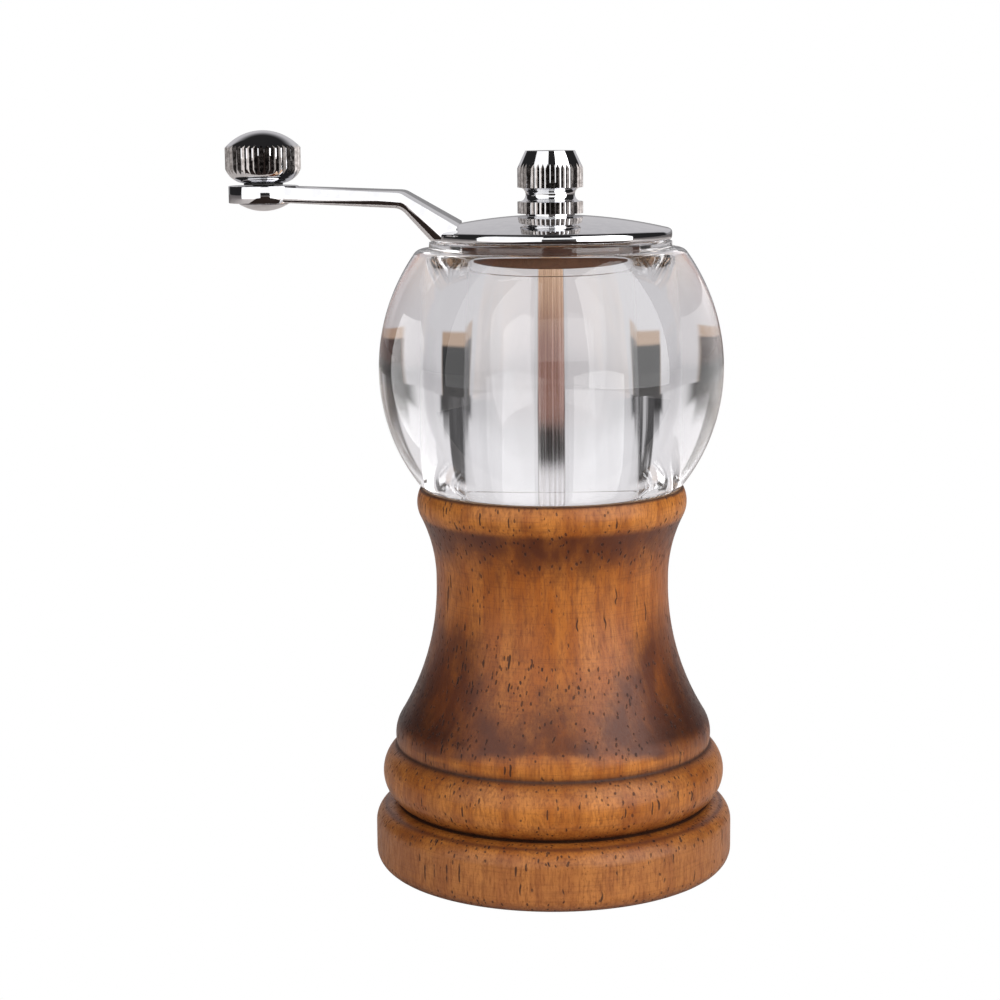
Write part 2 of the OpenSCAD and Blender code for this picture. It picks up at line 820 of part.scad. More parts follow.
module cover_plug() {
    hub_hole_r = cover_hub_d / 2 + seat_fit;
    hub_floor = cover_z - cover_hub_l - seat_fit;
    plug_top = hollow_z - seat_fit;
    color("saddlebrown")
        difference() {
            disc(plug_r, plug_z, plug_top);
            disc(shaft_corner_r + loose_gap, plug_z - eps, plug_top + eps);
            disc(hub_hole_r, hub_floor, plug_top + eps);
        }
}

module adjusting_nut() {
    band_r = nut_d / 2;
    low_z = nut_foot_h;
    neck_z = low_z + nut_low_h;
    up_z = neck_z + nut_neck_h;
    cone_base = up_z + nut_up_h;
    neck_r = nut_neck_d / 2;
    neck_edge = band_r - knurl_depth;
    groove_r = bulge_r(nut_neck_h / 2, neck_edge - neck_r);
    groove_c = [neck_r + groove_r, neck_z + nut_neck_h / 2];
    groove_a = angle_to(groove_c, [neck_edge, up_z]);
    outline = concat(
        [
            [0, 0],
            [neck_r, 0],
            [neck_r, low_z],
            [band_r, low_z],
            [band_r, neck_z],
        ],
        arc(groove_c, groove_r, 360 - groove_a, groove_a),
        [
            [band_r, up_z],
            [band_r, cone_base],
            [nut_top_d / 2, nut_h],
            [0, nut_h],
        ]
    );
    color("silver")
        translate([0, 0, nut_z])
            difference() {
                intersection() {
                    rotate_extrude()
                        polygon(outline);
                    knurl_prism(band_r + knurl_depth / 4, nut_knurls, nut_h);
                }
                disc(thread_d / 2 + run_fit, -eps, thread_l + loose_gap + 2 * adjust_travel);
            }
}

module crank_knob() {
    band_top = knob_under_h + knob_band_h;
    cap_r = bulge_r(knob_r, knob_cap_h);
    cap_c = [0, knob_h - cap_r];
    foot = [knob_foot_d / 2, 0];
    edge = [knob_r, knob_under_h];
    under_r = norm(edge - foot);
    centre_a = angle_to(foot, edge) + 60; // the chord is as long as the radius
    under_c = foot + under_r * [cos(centre_a), sin(centre_a)];
    outline = concat(
        [[0, 0]],
        arc(under_c, under_r, angle_to(under_c, foot), angle_to(under_c, edge)),
        arc(cap_c, cap_r, asin((band_top - cap_c[1]) / cap_r), 90)
    );
    color("silver")
        translate([-crank_r, 0, knob_z])
            difference() {
                intersection() {
                    rotate_extrude()
                        polygon(outline);
                    knurl_prism(knob_r + knurl_depth / 4, knob_knurls, knob_h);
                }
                disc(knob_pin_r + seat_fit, -eps, knob_pin_l + loose_gap);
            }
}

module knob_rivet() {
    color("silver")
        translate([-crank_r, 0, 0])
            domed_pin(knob_head_d, knob_head_h, knob_pin_d, boss_under - turn_gap, knob_z + knob_pin_l);
}

module knob_washer() {
    color("black")
        translate([-crank_r, 0, 0])
            difference() {
                disc(knob_washer_d / 2, washer_z, washer_z + knob_washer_t);
                disc(knob_pin_r + seat_fit, washer_z - eps, washer_z + knob_washer_t + eps);
            }
}

wood_base();
clear_body();
burr_housing();
burr_ring();
retaining_plate();
plate_screws();
drive_bush();
thrust_washer();
grind_spring();
drive_shaft();
burr_cone();
cone_core();
cone_washer();
cone_screw();
crank_cover();
cover_plug();
adjusting_nut();
crank_knob();
knob_rivet();
knob_washer();
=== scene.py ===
"""Looks of a hand crank pepper mill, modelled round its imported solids.

Lengths in the named values are millimetres, angles are degrees, and MM turns millimetres into metres.
"""
import math

import bpy
from mathutils import Matrix, Vector

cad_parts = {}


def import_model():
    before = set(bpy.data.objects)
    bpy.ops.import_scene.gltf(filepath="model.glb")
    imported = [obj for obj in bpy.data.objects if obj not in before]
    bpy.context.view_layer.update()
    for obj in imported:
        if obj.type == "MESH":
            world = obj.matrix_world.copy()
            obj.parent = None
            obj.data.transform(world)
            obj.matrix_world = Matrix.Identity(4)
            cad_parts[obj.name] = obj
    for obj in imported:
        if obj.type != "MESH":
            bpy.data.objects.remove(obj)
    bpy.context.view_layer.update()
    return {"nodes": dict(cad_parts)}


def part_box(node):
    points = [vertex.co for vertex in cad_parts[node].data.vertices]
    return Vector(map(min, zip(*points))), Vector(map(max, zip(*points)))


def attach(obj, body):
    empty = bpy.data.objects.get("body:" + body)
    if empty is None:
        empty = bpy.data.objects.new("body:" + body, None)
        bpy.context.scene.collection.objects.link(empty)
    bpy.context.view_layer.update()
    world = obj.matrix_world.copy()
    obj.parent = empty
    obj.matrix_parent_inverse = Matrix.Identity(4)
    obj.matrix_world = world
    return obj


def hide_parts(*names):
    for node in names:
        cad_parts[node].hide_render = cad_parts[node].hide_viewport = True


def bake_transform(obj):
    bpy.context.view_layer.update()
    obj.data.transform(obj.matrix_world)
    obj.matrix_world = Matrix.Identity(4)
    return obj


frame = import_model()
MM = 0.001


def box_mm(node):
    """Lowest and highest corner of a solid, in millimetres."""
    low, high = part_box(node)
    return low / MM, high / MM


# Places and main sizes that the solids give
BASE_HIGH = box_mm("wood_base")[1]
BODY_LOW, BODY_HIGH = box_mm("clear_body")
HOUSING_HIGH = box_mm("burr_housing")[1]
PLUG_LOW, PLUG_HIGH = box_mm("cover_plug")
COVER_LOW, COVER_HIGH = box_mm("crank_cover")
NUT_LOW, NUT_HIGH = box_mm("adjusting_nut")
KNOB_LOW, KNOB_HIGH = box_mm("crank_knob")
RIVET_LOW, RIVET_HIGH = box_mm("knob_rivet")
WASHER_LOW, WASHER_HIGH = box_mm("knob_washer")
SHAFT_LOW, SHAFT_HIGH = box_mm("drive_shaft")
SPRING_LOW, SPRING_HIGH = box_mm("grind_spring")
KNOB_X = (KNOB_LOW.x + KNOB_HIGH.x) / 2
CRANK_R = -KNOB_X

# Wooden base
FOOT_R = BASE_HIGH.x
BASE_TOP = BASE_HIGH.z
FOOT_RING_TOP = 11.0
FOOT_EDGE_R = 3.0
FOOT_SHOULDER_R = 3.5
BEAD_WIDE_R = 28.7
BEAD_ROUND_R = 5.8
BEAD_Z = 16.2
FLARE_WIDE_R = 26.5
FLARE_ROUND_R = 6.0
FLARE_Z = 22.6
WAIST_R = 19.35
WAIST_LOW = 48.0
WAIST_HIGH = 49.0
LIP_WIDE_R = 22.4
LIP_ROUND_R = 5.0
LIP_DROP = 2.4
RECESS_GAP = 0.3
RECESS_R = HOUSING_HIGH.x + RECESS_GAP
RECESS_TOP = 5.0
BARREL_R = 15.65
BARREL_TOP = 24.15
THROAT_R = 12.6
FUNNEL_TOP = HOUSING_HIGH.z + RECESS_GAP
SOCKET_GAP = 0.05
LEDGE_INSET = 0.4
RAW_STEP_INSET = 0.35
RAW_STEP_DEPTH = 0.06
RAW_BORE_WALL = 1.0
RAW_RECESS_W = 0.2
RAW_RECESS_H = 0.5

# Clear hopper
BODY_R = BODY_HIGH.x
NECK_TOP = BODY_HIGH.z
NECK_H = 1.1
BODY_TOP = NECK_TOP - NECK_H
BELLY_Z = 84.0
LIP_MARGIN = 1.1
BODY_EDGE_R = 1.5
SHOULDER_R = 1.5
SHOULDER_W = 2.0
BORE_R = 14.5
WIDE_R = 14.8
MOUTH_L = 6.2
SUMP_L = 3.6
SPIGOT_R = 17.5
SPIGOT_Z = BODY_LOW.z

# Crank cover, arm, knob and nut
COVER_R = COVER_HIGH.x
COVER_Z = 104.95
COVER_H = 4.2
DOME_R = 84.0
RIM_LOW_R = 0.8
RIM_TOP_R = 0.6
RIM_W = 2.4
HOLLOW_H = 1.6
HUB_R = 5.5
SEAT_R = 5.65
ARM_T = 2.5
ARM_BEND_U = 24.0
ARM_BEND_Z = COVER_Z + COVER_H + 4.0
ARM_TOP_Z = COVER_HIGH.z
ARM_ROOT_U = COVER_R - 5.0
ARM_ROOT_W = 20.0
ARM_TIP_W = 8.6
BEND_R = 2.5
ARM_EASE_R = 1.2
ARM_TIP_EASE = 0.15
ARM_UNDER_STEPS = 10
BOSS_R = 5.7
BOSS_DROP = 0.27
BOSS_UNDER = ARM_TOP_Z - ARM_T - BOSS_DROP
PIN_R = 1.75
PIN_HOLE_R = 1.8
PIN_END_GAP = 0.3
SQUARE_HOLE_GAP = 0.16
PLUG_HUB_HOLE_R = 5.55
PLUG_HUB_FLOOR = 102.9
PLUG_SHAFT_HOLE_R = 3.41
KNOB_R = KNOB_HIGH.x - KNOB_X
KNOB_UNDER_H = 2.3
KNOB_BAND_H = 3.4
KNOB_CAP_H = 2.8
KNOB_FOOT_R = 3.4
KNOB_UNDER_ARC = 60.0
RIVET_HEAD_R = 4.1
RIVET_HEAD_H = 1.2
NUT_R = NUT_HIGH.x
NUT_FOOT_H = 0.4
NUT_LOW_H = 1.9
NUT_NECK_H = 2.3
NUT_NECK_R = 4.0
NUT_UP_H = 3.1
NUT_TOP_R = 4.05
THREAD_HOLE_R = 2.05
THREAD_HOLE_H = 8.5
KNURL_DEPTH = 0.4
KNURLS = 40
KNURL_REACH = 1.015
FLANK_SLOPE = 0.2
FLANK_TURN = 0.85

# Shaft and spring
SHAFT_W = 2 * SHAFT_HIGH.x
SQUARE_TOP = 107.76
SQUARE_STEP = 0.05
SQUARE_LOW = SPRING_LOW.z - SQUARE_STEP
TAIL_W = 3.4
THREAD_R = 2.0
SPRING_TURNS = 3.5
WIRE_R = 0.35

# Fineness of the meshes
ARC_CHORD = 0.4
SPIN_STEPS = 240
SMALL_SPIN_STEPS = 120
KNURLED_SPIN_STEPS = 6 * KNURLS
COIL_STEPS = 40
WIRE_SIDES = 14
CUT_PAST = 1.0
MERGE_GAP = 0.0005
SOFT_EDGE_W = 0.12
SMOOTH_ANGLE = 32.0


# Flat geometry of the outlines, points as (radius, height)

def arc(centre, radius, start, end):
    """Points along an arc between two angles, close enough together to look round."""
    count = max(3, math.ceil(abs(math.radians(end - start)) * radius / ARC_CHORD))
    turn = [math.radians(start + (end - start) * i / count) for i in range(count + 1)]
    return [(centre[0] + radius * math.cos(a), centre[1] + radius * math.sin(a)) for a in turn]


def angle_to(start, end):
    return math.degrees(math.atan2(end[1] - start[1], end[0] - start[0]))


def rounded_corner(before, point, after, radius):
    """Points of a rounded corner between two straight runs."""
    point = Vector(point)
    first = (Vector(before) - point).normalized()
    second = (Vector(after) - point).normalized()
    half = first.angle(second) / 2
    centre = point + (first + second).normalized() * radius / math.sin(half)
    start = angle_to(centre, point + first * radius / math.tan(half))
    end = angle_to(centre, point + second * radius / math.tan(half))
    turn = (end - start + 180) % 360 - 180
    return arc(centre, radius, start, start + turn)


def outer_crossing(first, first_r, second, second_r):
    """The crossing of two circles that lies further from the axis."""
    gap = Vector(second) - Vector(first)
    along = (first_r ** 2 - second_r ** 2 + gap.length_squared) / (2 * gap.length)
    across = math.sqrt(first_r ** 2 - along ** 2)
    unit = gap.normalized()
    side = Vector((abs(unit.y), -unit.x * math.copysign(1, unit.y)))
    return Vector(first) + along * unit + across * side


def hollow_radius(inside, along, round_r):
    """Radius of the hollow curve that leaves a straight waist and runs into a round."""
    return (inside ** 2 + along ** 2 - round_r ** 2) / (2 * (round_r - inside))


def bulge_radius(rise, sag):
    """Radius of an arc that spans rise along the axis and sag across it."""
    return (rise ** 2 + sag ** 2) / (2 * sag)


# Modelling steps

def fresh_start():
    bpy.ops.object.select_all(action="DESELECT")


def enter_edit(piece):
    fresh_start()
    piece.select_set(True)
    bpy.context.view_layer.objects.active = piece
    bpy.ops.object.mode_set(mode="EDIT")


def leave_edit():
    bpy.ops.object.mode_set(mode="OBJECT")


def settle(piece):
    """Put a piece's place and size into its mesh."""
    fresh_start()
    piece.select_set(True)
    bpy.context.view_layer.objects.active = piece
    bpy.ops.object.transform_apply(location=True, rotation=True, scale=True)


def pick_vertices(piece, wanted):
    """Open a piece in edit mode with only the vertices selected whose place passes a test."""
    enter_edit(piece)
    bpy.ops.mesh.select_mode(type="VERT")
    bpy.ops.mesh.select_all(action="DESELECT")
    leave_edit()
    for vertex in piece.data.vertices:
        vertex.select = wanted(vertex.co / MM)
    enter_edit(piece)


def draw_line(name, points):
    """A chain of edges through points, drawn vertex by vertex."""
    fresh_start()
    bpy.ops.mesh.primitive_plane_add(size=MM, location=[c * MM for c in points[0]])
    piece = bpy.context.active_object
    piece.name = name
    settle(piece)
    enter_edit(piece)
    bpy.ops.mesh.select_all(action="SELECT")
    bpy.ops.mesh.merge(type="CENTER")
    for here, there in zip(points, points[1:]):
        step = [(b - a) * MM for a, b in zip(here, there)]
        bpy.ops.mesh.extrude_region_move(TRANSFORM_OT_translate={"value": step})
    return piece


def close_mesh():
    """Weld a mesh that is open in edit mode and turn its faces outwards."""
    bpy.ops.mesh.select_all(action="SELECT")
    bpy.ops.mesh.remove_doubles(threshold=MERGE_GAP * MM)
    bpy.ops.mesh.normals_make_consistent(inside=False)


def lathe(name, outline, axis_x=0.0, steps=SPIN_STEPS):
    """Turn an outline of (radius, height) points round an upright axis."""
    piece = draw_line(name, [(axis_x + r, 0, z) for r, z in outline])
    bpy.ops.mesh.select_all(action="SELECT")
    bpy.ops.mesh.spin(steps=steps, angle=math.tau, center=(axis_x * MM, 0, 0), axis=(0, 0, 1))
    close_mesh()
    leave_edit()
    return piece


def apply_modifier(piece, kind, **settings):
    fresh_start()
    piece.select_set(True)
    bpy.context.view_layer.objects.active = piece
    modifier = piece.modifiers.new(kind.lower(), kind)
    for name, value in settings.items():
        setattr(modifier, name, value)
    bpy.ops.object.modifier_apply(modifier=modifier.name)


def soften_edges(piece, width=SOFT_EDGE_W, segments=2, angle=SMOOTH_ANGLE):
    apply_modifier(
        piece, "BEVEL", width=width * MM, segments=segments, limit_method="ANGLE",
        angle_limit=math.radians(angle), harden_normals=False, use_clamp_overlap=True,
    )


def combine(piece, other, operation):
    """Boolean a piece with another, which is used up."""
    apply_modifier(piece, "BOOLEAN", operation=operation, solver="EXACT", object=other)
    bpy.data.objects.remove(other)


def round_bar(name, radius, low, high, axis_x=0.0, sides=SMALL_SPIN_STEPS):
    fresh_start()
    bpy.ops.mesh.primitive_cylinder_add(
        vertices=sides, radius=radius * MM, depth=(high - low) * MM,
        location=(axis_x * MM, 0, (low + high) / 2 * MM),
    )
    piece = bpy.context.active_object
    piece.name = name
    settle(piece)
    return piece


def square_bar(name, width, low, high):
    fresh_start()
    bpy.ops.mesh.primitive_cube_add(size=MM, location=(0, 0, (low + high) / 2 * MM))
    piece = bpy.context.active_object
    piece.name = name
    piece.scale = (width, width, high - low)
    settle(piece)
    return piece


def knurl_star(band_r, low, high, axis_x):
    """Star-shaped prism that leaves upright ridges with right-angled grooves on a turned piece."""
    half_step = math.pi / KNURLS
    radius = band_r * KNURL_REACH
    star = round_bar("knurl_star", radius, low, high, axis_x, sides=2 * KNURLS)
    steps_per_degree = 2 * KNURLS / 360
    pick_vertices(star, lambda at: round(angle_to((axis_x, 0), at) * steps_per_degree) % 2 == 1)
    valley = math.cos(half_step) - math.sin(half_step)
    bpy.ops.transform.resize(
        value=(valley, valley, 1), center_override=(axis_x * MM, 0, (low + high) / 2 * MM),
    )
    leave_edit()
    return star


def heal(piece):
    """Weld what a boolean left apart and fill the slits that stay open."""
    enter_edit(piece)
    close_mesh()
    bpy.ops.mesh.select_mode(type="EDGE")
    bpy.ops.mesh.select_all(action="DESELECT")
    bpy.ops.mesh.select_non_manifold()
    bpy.ops.mesh.fill_holes(sides=8)
    bpy.ops.mesh.select_mode(type="VERT")
    close_mesh()
    leave_edit()


def smooth(piece, angle=SMOOTH_ANGLE):
    fresh_start()
    piece.select_set(True)
    bpy.context.view_layer.objects.active = piece
    bpy.ops.object.shade_smooth_by_angle(angle=math.radians(angle))


def hand_over(piece, body, slot, materials, *nodes):
    """Finish a piece: its materials, smooth shading, and the body and solids it belongs to."""
    piece.data.materials.clear()
    for material in materials:
        piece.data.materials.append(material)
    smooth(piece)
    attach(piece, body)
    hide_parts(*nodes)


# Materials

def new_material(name):
    material = bpy.data.materials.new(name)
    material.use_nodes = True
    tree = material.node_tree
    return material, tree, tree.nodes["Principled BSDF"]


def put(tree, kind, inputs=(), **settings):
    """Add a node, set its properties and feed its inputs with values or other nodes."""
    node = tree.nodes.new(kind)
    for name, value in settings.items():
        setattr(node, name, value)
    for name, value in dict(inputs).items():
        if isinstance(value, bpy.types.NodeSocket):
            tree.links.new(value, node.inputs[name])
        else:
            node.inputs[name].default_value = value
    return node


def calc(tree, operation, *terms):
    return put(tree, "ShaderNodeMath", enumerate(terms), operation=operation).outputs[0]


def product(tree, *factors):
    result = factors[0]
    for factor in factors[1:]:
        result = calc(tree, "MULTIPLY", result, factor)
    return result


def greatest(tree, *values):
    result = values[0]
    for value in values[1:]:
        result = calc(tree, "MAXIMUM", result, value)
    return result


def remap(tree, value, low, high, to_low=0.0, to_high=1.0):
    """Ease a value from one range into another."""
    feeds = {"Value": value, "From Min": low, "From Max": high, "To Min": to_low, "To Max": to_high}
    return put(tree, "ShaderNodeMapRange", feeds, interpolation_type="SMOOTHSTEP").outputs[0]


def tint(tree, share, first, second, mode="MIX"):
    """Mix two colours."""
    node = put(tree, "ShaderNodeMix", data_type="RGBA", blend_type=mode)
    for index, value in ((0, share), (6, first), (7, second)):
        if isinstance(value, bpy.types.NodeSocket):
            tree.links.new(value, node.inputs[index])
        elif index == 0:
            node.inputs[index].default_value = value
        else:
            node.inputs[index].default_value = (*value, 1)
    return node.outputs[2]


def place_mm(tree):
    """Object coordinates in millimetres."""
    coordinates = put(tree, "ShaderNodeTexCoord").outputs["Object"]
    return put(tree, "ShaderNodeMapping", {"Vector": coordinates, "Scale": [1 / MM] * 3}).outputs[0]


def noise(tree, place, scale, detail=3.0, offset=(0, 0, 0)):
    """Noise stretched by a scale for each axis, in waves per millimetre."""
    stretched = put(tree, "ShaderNodeMapping", {"Vector": place, "Scale": scale, "Location": offset})
    feeds = {"Vector": stretched.outputs[0], "Scale": 1.0, "Detail": detail, "Roughness": 0.55}
    return put(tree, "ShaderNodeTexNoise", feeds).outputs["Fac"]


def bump(tree, shader, height, depth, strength=1.0):
    feeds = {"Height": height, "Distance": depth * MM, "Strength": strength}
    tree.links.new(put(tree, "ShaderNodeBump", feeds).outputs[0], shader.inputs["Normal"])


def feed(tree, shader, **sockets):
    """Link node outputs to the shader, with underscores for the spaces in its socket names."""
    for name, socket in sockets.items():
        tree.links.new(socket, shader.inputs[name.replace("_", " ")])


def band(tree, height, middle, half_width):
    """1 at a height, easing to 0 at half a width away."""
    return remap(tree, calc(tree, "ABSOLUTE", calc(tree, "SUBTRACT", height, middle)), 0, half_width, 1, 0)


def pores(tree, place, cell, reach, rarity, crowding):
    """Upright dark vessels: dashes where the wood is cut along them, dots where it is cut across."""
    wander = noise(tree, place, (0.5, 0.5, 0.5), 1.0)
    moved = product(tree, calc(tree, "SUBTRACT", wander, 0.5), 0.9)
    shifted = put(tree, "ShaderNodeVectorMath", {0: place, 1: moved}, operation="ADD").outputs[0]
    scaled = put(tree, "ShaderNodeMapping", {"Vector": shifted, "Scale": [1 / c for c in cell]}).outputs[0]
    cells = put(tree, "ShaderNodeTexVoronoi", {"Vector": scaled, "Scale": 1.0})
    chance = put(tree, "ShaderNodeSeparateColor", {0: cells.outputs["Color"]}).outputs[0]
    patches = noise(tree, place, (0.09, 0.09, 0.05), 2.0, (7.0, 2.0, 5.0))
    crowded = calc(tree, "ADD", chance, remap(tree, patches, 0.3, 0.7, -0.25, 0.25))
    crowded = calc(tree, "ADD", crowded, crowding)
    size = remap(tree, crowded, rarity, rarity + 0.35, 0.0, reach)
    core = product(tree, size, 0.65)
    return remap(tree, cells.outputs["Distance"], core, calc(tree, "ADD", size, 0.001), 1, 0)


# Stains of the wood, from the palest grain to the dirt in the pores; umber and deep also serve as painted
# shade
HONEY = (0.57, 0.205, 0.035)
AMBER = (0.35, 0.096, 0.011)
TAN = (0.36, 0.15, 0.055)
RUST = (0.17, 0.044, 0.007)
UMBER = (0.1, 0.026, 0.009)
DEEP = (0.03, 0.008, 0.004)
CHAR = (0.02, 0.0065, 0.004)

# Grain of the wood: waves per millimetre along each axis, detail and offset
WOOD_GRAIN = {
    "streaks": ((0.3, 0.3, 0.03), 4.0),
    "rays": ((0.22, 0.22, 0.02), 3.0, (5.0, 9.0, 2.0)),
    "fibres": ((2.6, 2.6, 0.4), 3.0),
    "clouds": ((0.075, 0.075, 0.06), 3.0, (3.1, 0.4, 1.7)),
    "mottle": ((0.45, 0.45, 0.3), 3.0, (1.0, 6.0, 4.0)),
    "lathe_marks": ((0.12, 0.12, 3.4), 2.0),
    "flecks": ((4.0, 4.0, 1.8), 2.0),
}
VESSEL_CELL = (0.85, 0.85, 9.0)
SMALL_VESSEL_CELL = (0.85, 0.85, 1.8)
VESSEL_REACH = 0.26

# Heights between which the wood turns tan at the foot and its painted side shade fades, as (from, to)
TAN_FOOT_TOP = (8, 10)
SIDE_SHADE_TOP = (36, 50)


def grain_colour(tree, grain, height):
    """Honey and amber streaks, duller in the turned-in waist and tan at the foot, with darker fibres."""
    turned_in = product(
        tree, remap(tree, height, NOTCH_Z, NOTCH_Z + 5),
        remap(tree, height, BASE_TOP - 6, BASE_TOP - 3, 1, 0))
    pale = calc(tree, "SUBTRACT", remap(tree, grain["streaks"], 0.25, 0.65), product(tree, turned_in, 0.5))
    colour = tint(tree, greatest(tree, pale, 0.0), AMBER, HONEY)
    colour = tint(tree, remap(tree, height, *TAN_FOOT_TOP, 0.45, 0.0), colour, TAN)
    colour = tint(tree, remap(tree, grain["fibres"], 0.4, 0.75, 0, 0.65), colour, RUST)
    colour = tint(tree, remap(tree, grain["flecks"], 0.52, 0.8, 0, 0.7), colour, RUST)
    return tint(tree, remap(tree, grain["mottle"], 0.5, 0.8, 0, 0.4), colour, RUST)


def stain_ends_shade_sides(tree, colour, grain, slope, sideways, height):
    """Darken the end grain, with ragged edges, but hardly the lip or what lies below the notch; lower down
    also paint shade, darker towards the left and right sides and lighter across the middle.
    """
    ragged = product(tree, calc(tree, "SUBTRACT", grain["clouds"], 0.5), 0.4)
    torn = product(tree, calc(tree, "SUBTRACT", grain["mottle"], 0.5), 0.22)
    ragged = calc(tree, "ADD", ragged, torn)
    # Painted shade: darker towards the left and right sides, lighter across the middle, fading out towards
    # the waist
    side_shade = product(
        tree, remap(tree, sideways, 5, 24, -0.22, 0.34), remap(tree, height, *SIDE_SHADE_TOP, 1, 0))
    stain_and_shade_need = calc(tree, "ADD", calc(tree, "ADD", slope, ragged), side_shade)
    upper = product(
        tree, remap(tree, height, NOTCH_Z - 1, NOTCH_Z + 3, 0.2, 1.0),
        remap(tree, height, BASE_TOP - 5.4, BASE_TOP - 4.2, 1.0, 0.12))
    lighter = remap(tree, grain["rays"], 0.42, 0.68, 1.0, 0.62)
    # The umber share carries both the end-grain stain and the painted side shade
    stain = product(tree, remap(tree, stain_and_shade_need, 0.04, 0.36), product(tree, upper, lighter))
    colour = tint(tree, stain, colour, UMBER)
    # Deepest brown: soaked end grain and painted shade on the sides
    deep_stain_and_shade = product(tree, remap(tree, stain_and_shade_need, 0.45, 0.85, 0, 0.85), upper)
    return tint(tree, deep_stain_and_shade, colour, DEEP)


def groove_lines(tree, colour, radius, height):
    """Darken the grooves and edges: painted shade under the bead, in the notch and along the foot's bottom
    edge, then dark lines. Gives the colour and the share of the dark lines.
    """
    on_ledge = product(
        tree, remap(tree, radius, LEDGE_R, LEDGE_R + 0.8),
        remap(tree, height, FOOT_RING_TOP + 0.05, FOOT_RING_TOP + 0.2, 1, 0))
    # Painted shade under the bead, in the notch and along the bottom edge, less of it on the ledge
    under_bead = product(
        tree, band(tree, height, FOOT_RING_TOP, 2.2), remap(tree, on_ledge, 0, 1, 1, 0.2))
    groove_shade = greatest(
        tree, under_bead, band(tree, height, NOTCH_Z, 1.5), remap(tree, height, 0.2, 1.8, 1, 0))
    colour = tint(tree, product(tree, groove_shade, 0.6), colour, UMBER)
    ring_line = product(
        tree, band(tree, height, FOOT_RING_TOP, 0.9), remap(tree, on_ledge, 0, 0.5, 1, 0))
    lines = greatest(
        tree, ring_line, band(tree, height, NOTCH_Z, 0.55),
        remap(tree, height, BASE_TOP - 0.55, BASE_TOP - 0.1, 0, 1))
    colour = tint(tree, product(tree, lines, 0.8), colour, CHAR)
    ledge_edge = product(
        tree, band(tree, radius, LEDGE_R + 2.2, 0.7), band(tree, height, FOOT_RING_TOP - 0.5, 1.2))
    return tint(tree, product(tree, ledge_edge, 0.8), colour, UMBER), lines


def stained_wood():
    """Orange-brown stain that the end grain drinks up, with vessels, ray flecks and lathe marks, and
    painted shade on the sides and in the grooves.
    """
    material, tree, shader = new_material("stained_wood_grain")
    place = place_mm(tree)
    xyz = put(tree, "ShaderNodeSeparateXYZ", {"Vector": place})
    height = xyz.outputs["Z"]
    sideways = calc(tree, "ABSOLUTE", xyz.outputs["X"])
    level = put(tree, "ShaderNodeVectorMath", {0: place, 1: (1, 1, 0)}, operation="MULTIPLY").outputs[0]
    radius = put(tree, "ShaderNodeVectorMath", {0: level}, operation="LENGTH").outputs["Value"]
    normal = put(tree, "ShaderNodeNewGeometry").outputs["Normal"]
    slope = calc(tree, "ABSOLUTE", put(tree, "ShaderNodeSeparateXYZ", {"Vector": normal}).outputs["Z"])
    grain = {name: noise(tree, place, *wave) for name, wave in WOOD_GRAIN.items()}

    colour = grain_colour(tree, grain, height)
    colour = stain_ends_shade_sides(tree, colour, grain, slope, sideways, height)
    colour, lines = groove_lines(tree, colour, radius, height)
    vessels = pores(
        tree, place, VESSEL_CELL, VESSEL_REACH, 0.4, remap(tree, slope, 0.05, 0.4, 0.12, -0.3))
    small_vessels = pores(
        tree, place, SMALL_VESSEL_CELL, VESSEL_REACH, 0.3, remap(tree, slope, 0.04, 0.3, -0.45, 0.55))
    open_pores = greatest(tree, vessels, product(tree, small_vessels, 0.8))
    filled = remap(tree, slope, 0.1, 0.4, 0.82, 0.93)
    colour = tint(tree, product(tree, open_pores, filled), colour, CHAR)
    colour = tint(tree, remap(tree, grain["lathe_marks"], 0.45, 0.75, 0, 0.25), colour, UMBER)

    gloss = remap(tree, grain["fibres"], 0.3, 0.7, 0.34, 0.48)
    dull = calc(tree, "ADD", gloss, product(tree, greatest(tree, open_pores, lines), 0.3))
    feed(tree, shader, Base_Color=colour, Roughness=dull)
    shader.inputs["Specular IOR Level"].default_value = 0.34
    shader.inputs["Coat Weight"].default_value = 0.1
    shader.inputs["Coat Roughness"].default_value = 0.2
    relief = calc(tree, "SUBTRACT", product(tree, grain["fibres"], 0.3), open_pores)
    relief = calc(tree, "ADD", relief, product(tree, grain["flecks"], 0.3))
    bump(tree, shader, relief, 0.12, 0.6)
    return material


def raw_wood():
    """Unstained tan wood of the bores and of the narrow step round the hopper."""
    material, tree, shader = new_material("raw_wood")
    place = place_mm(tree)
    streaks = noise(tree, place, (0.5, 0.5, 0.03), 4.0)
    fibres = noise(tree, place, (3.0, 3.0, 0.2), 3.0)
    colour = tint(tree, remap(tree, streaks, 0.3, 0.7), (0.33, 0.19, 0.10), (0.46, 0.29, 0.165))
    colour = tint(tree, remap(tree, fibres, 0.45, 0.75, 0, 0.4), colour, (0.2, 0.105, 0.05))
    feed(tree, shader, Base_Color=colour, Roughness=remap(tree, fibres, 0.3, 0.7, 0.55, 0.75))
    bump(tree, shader, fibres, 0.08, 0.5)
    return material


def clear_acrylic():
    """Thick clear acrylic with a breath of handling haze."""
    material, tree, shader = new_material("clear_acrylic_body")
    place = place_mm(tree)
    haze = noise(tree, place, (0.06, 0.06, 0.06), 2.0)
    colour = tint(tree, remap(tree, haze, 0.35, 0.7), (0.985, 0.987, 0.99), (0.998, 0.998, 0.998))
    feed(tree, shader, Base_Color=colour, Roughness=remap(tree, haze, 0.4, 0.75, 0.0, 0.012))
    shader.inputs["IOR"].default_value = 1.49
    shader.inputs["Transmission Weight"].default_value = 1.0
    return material


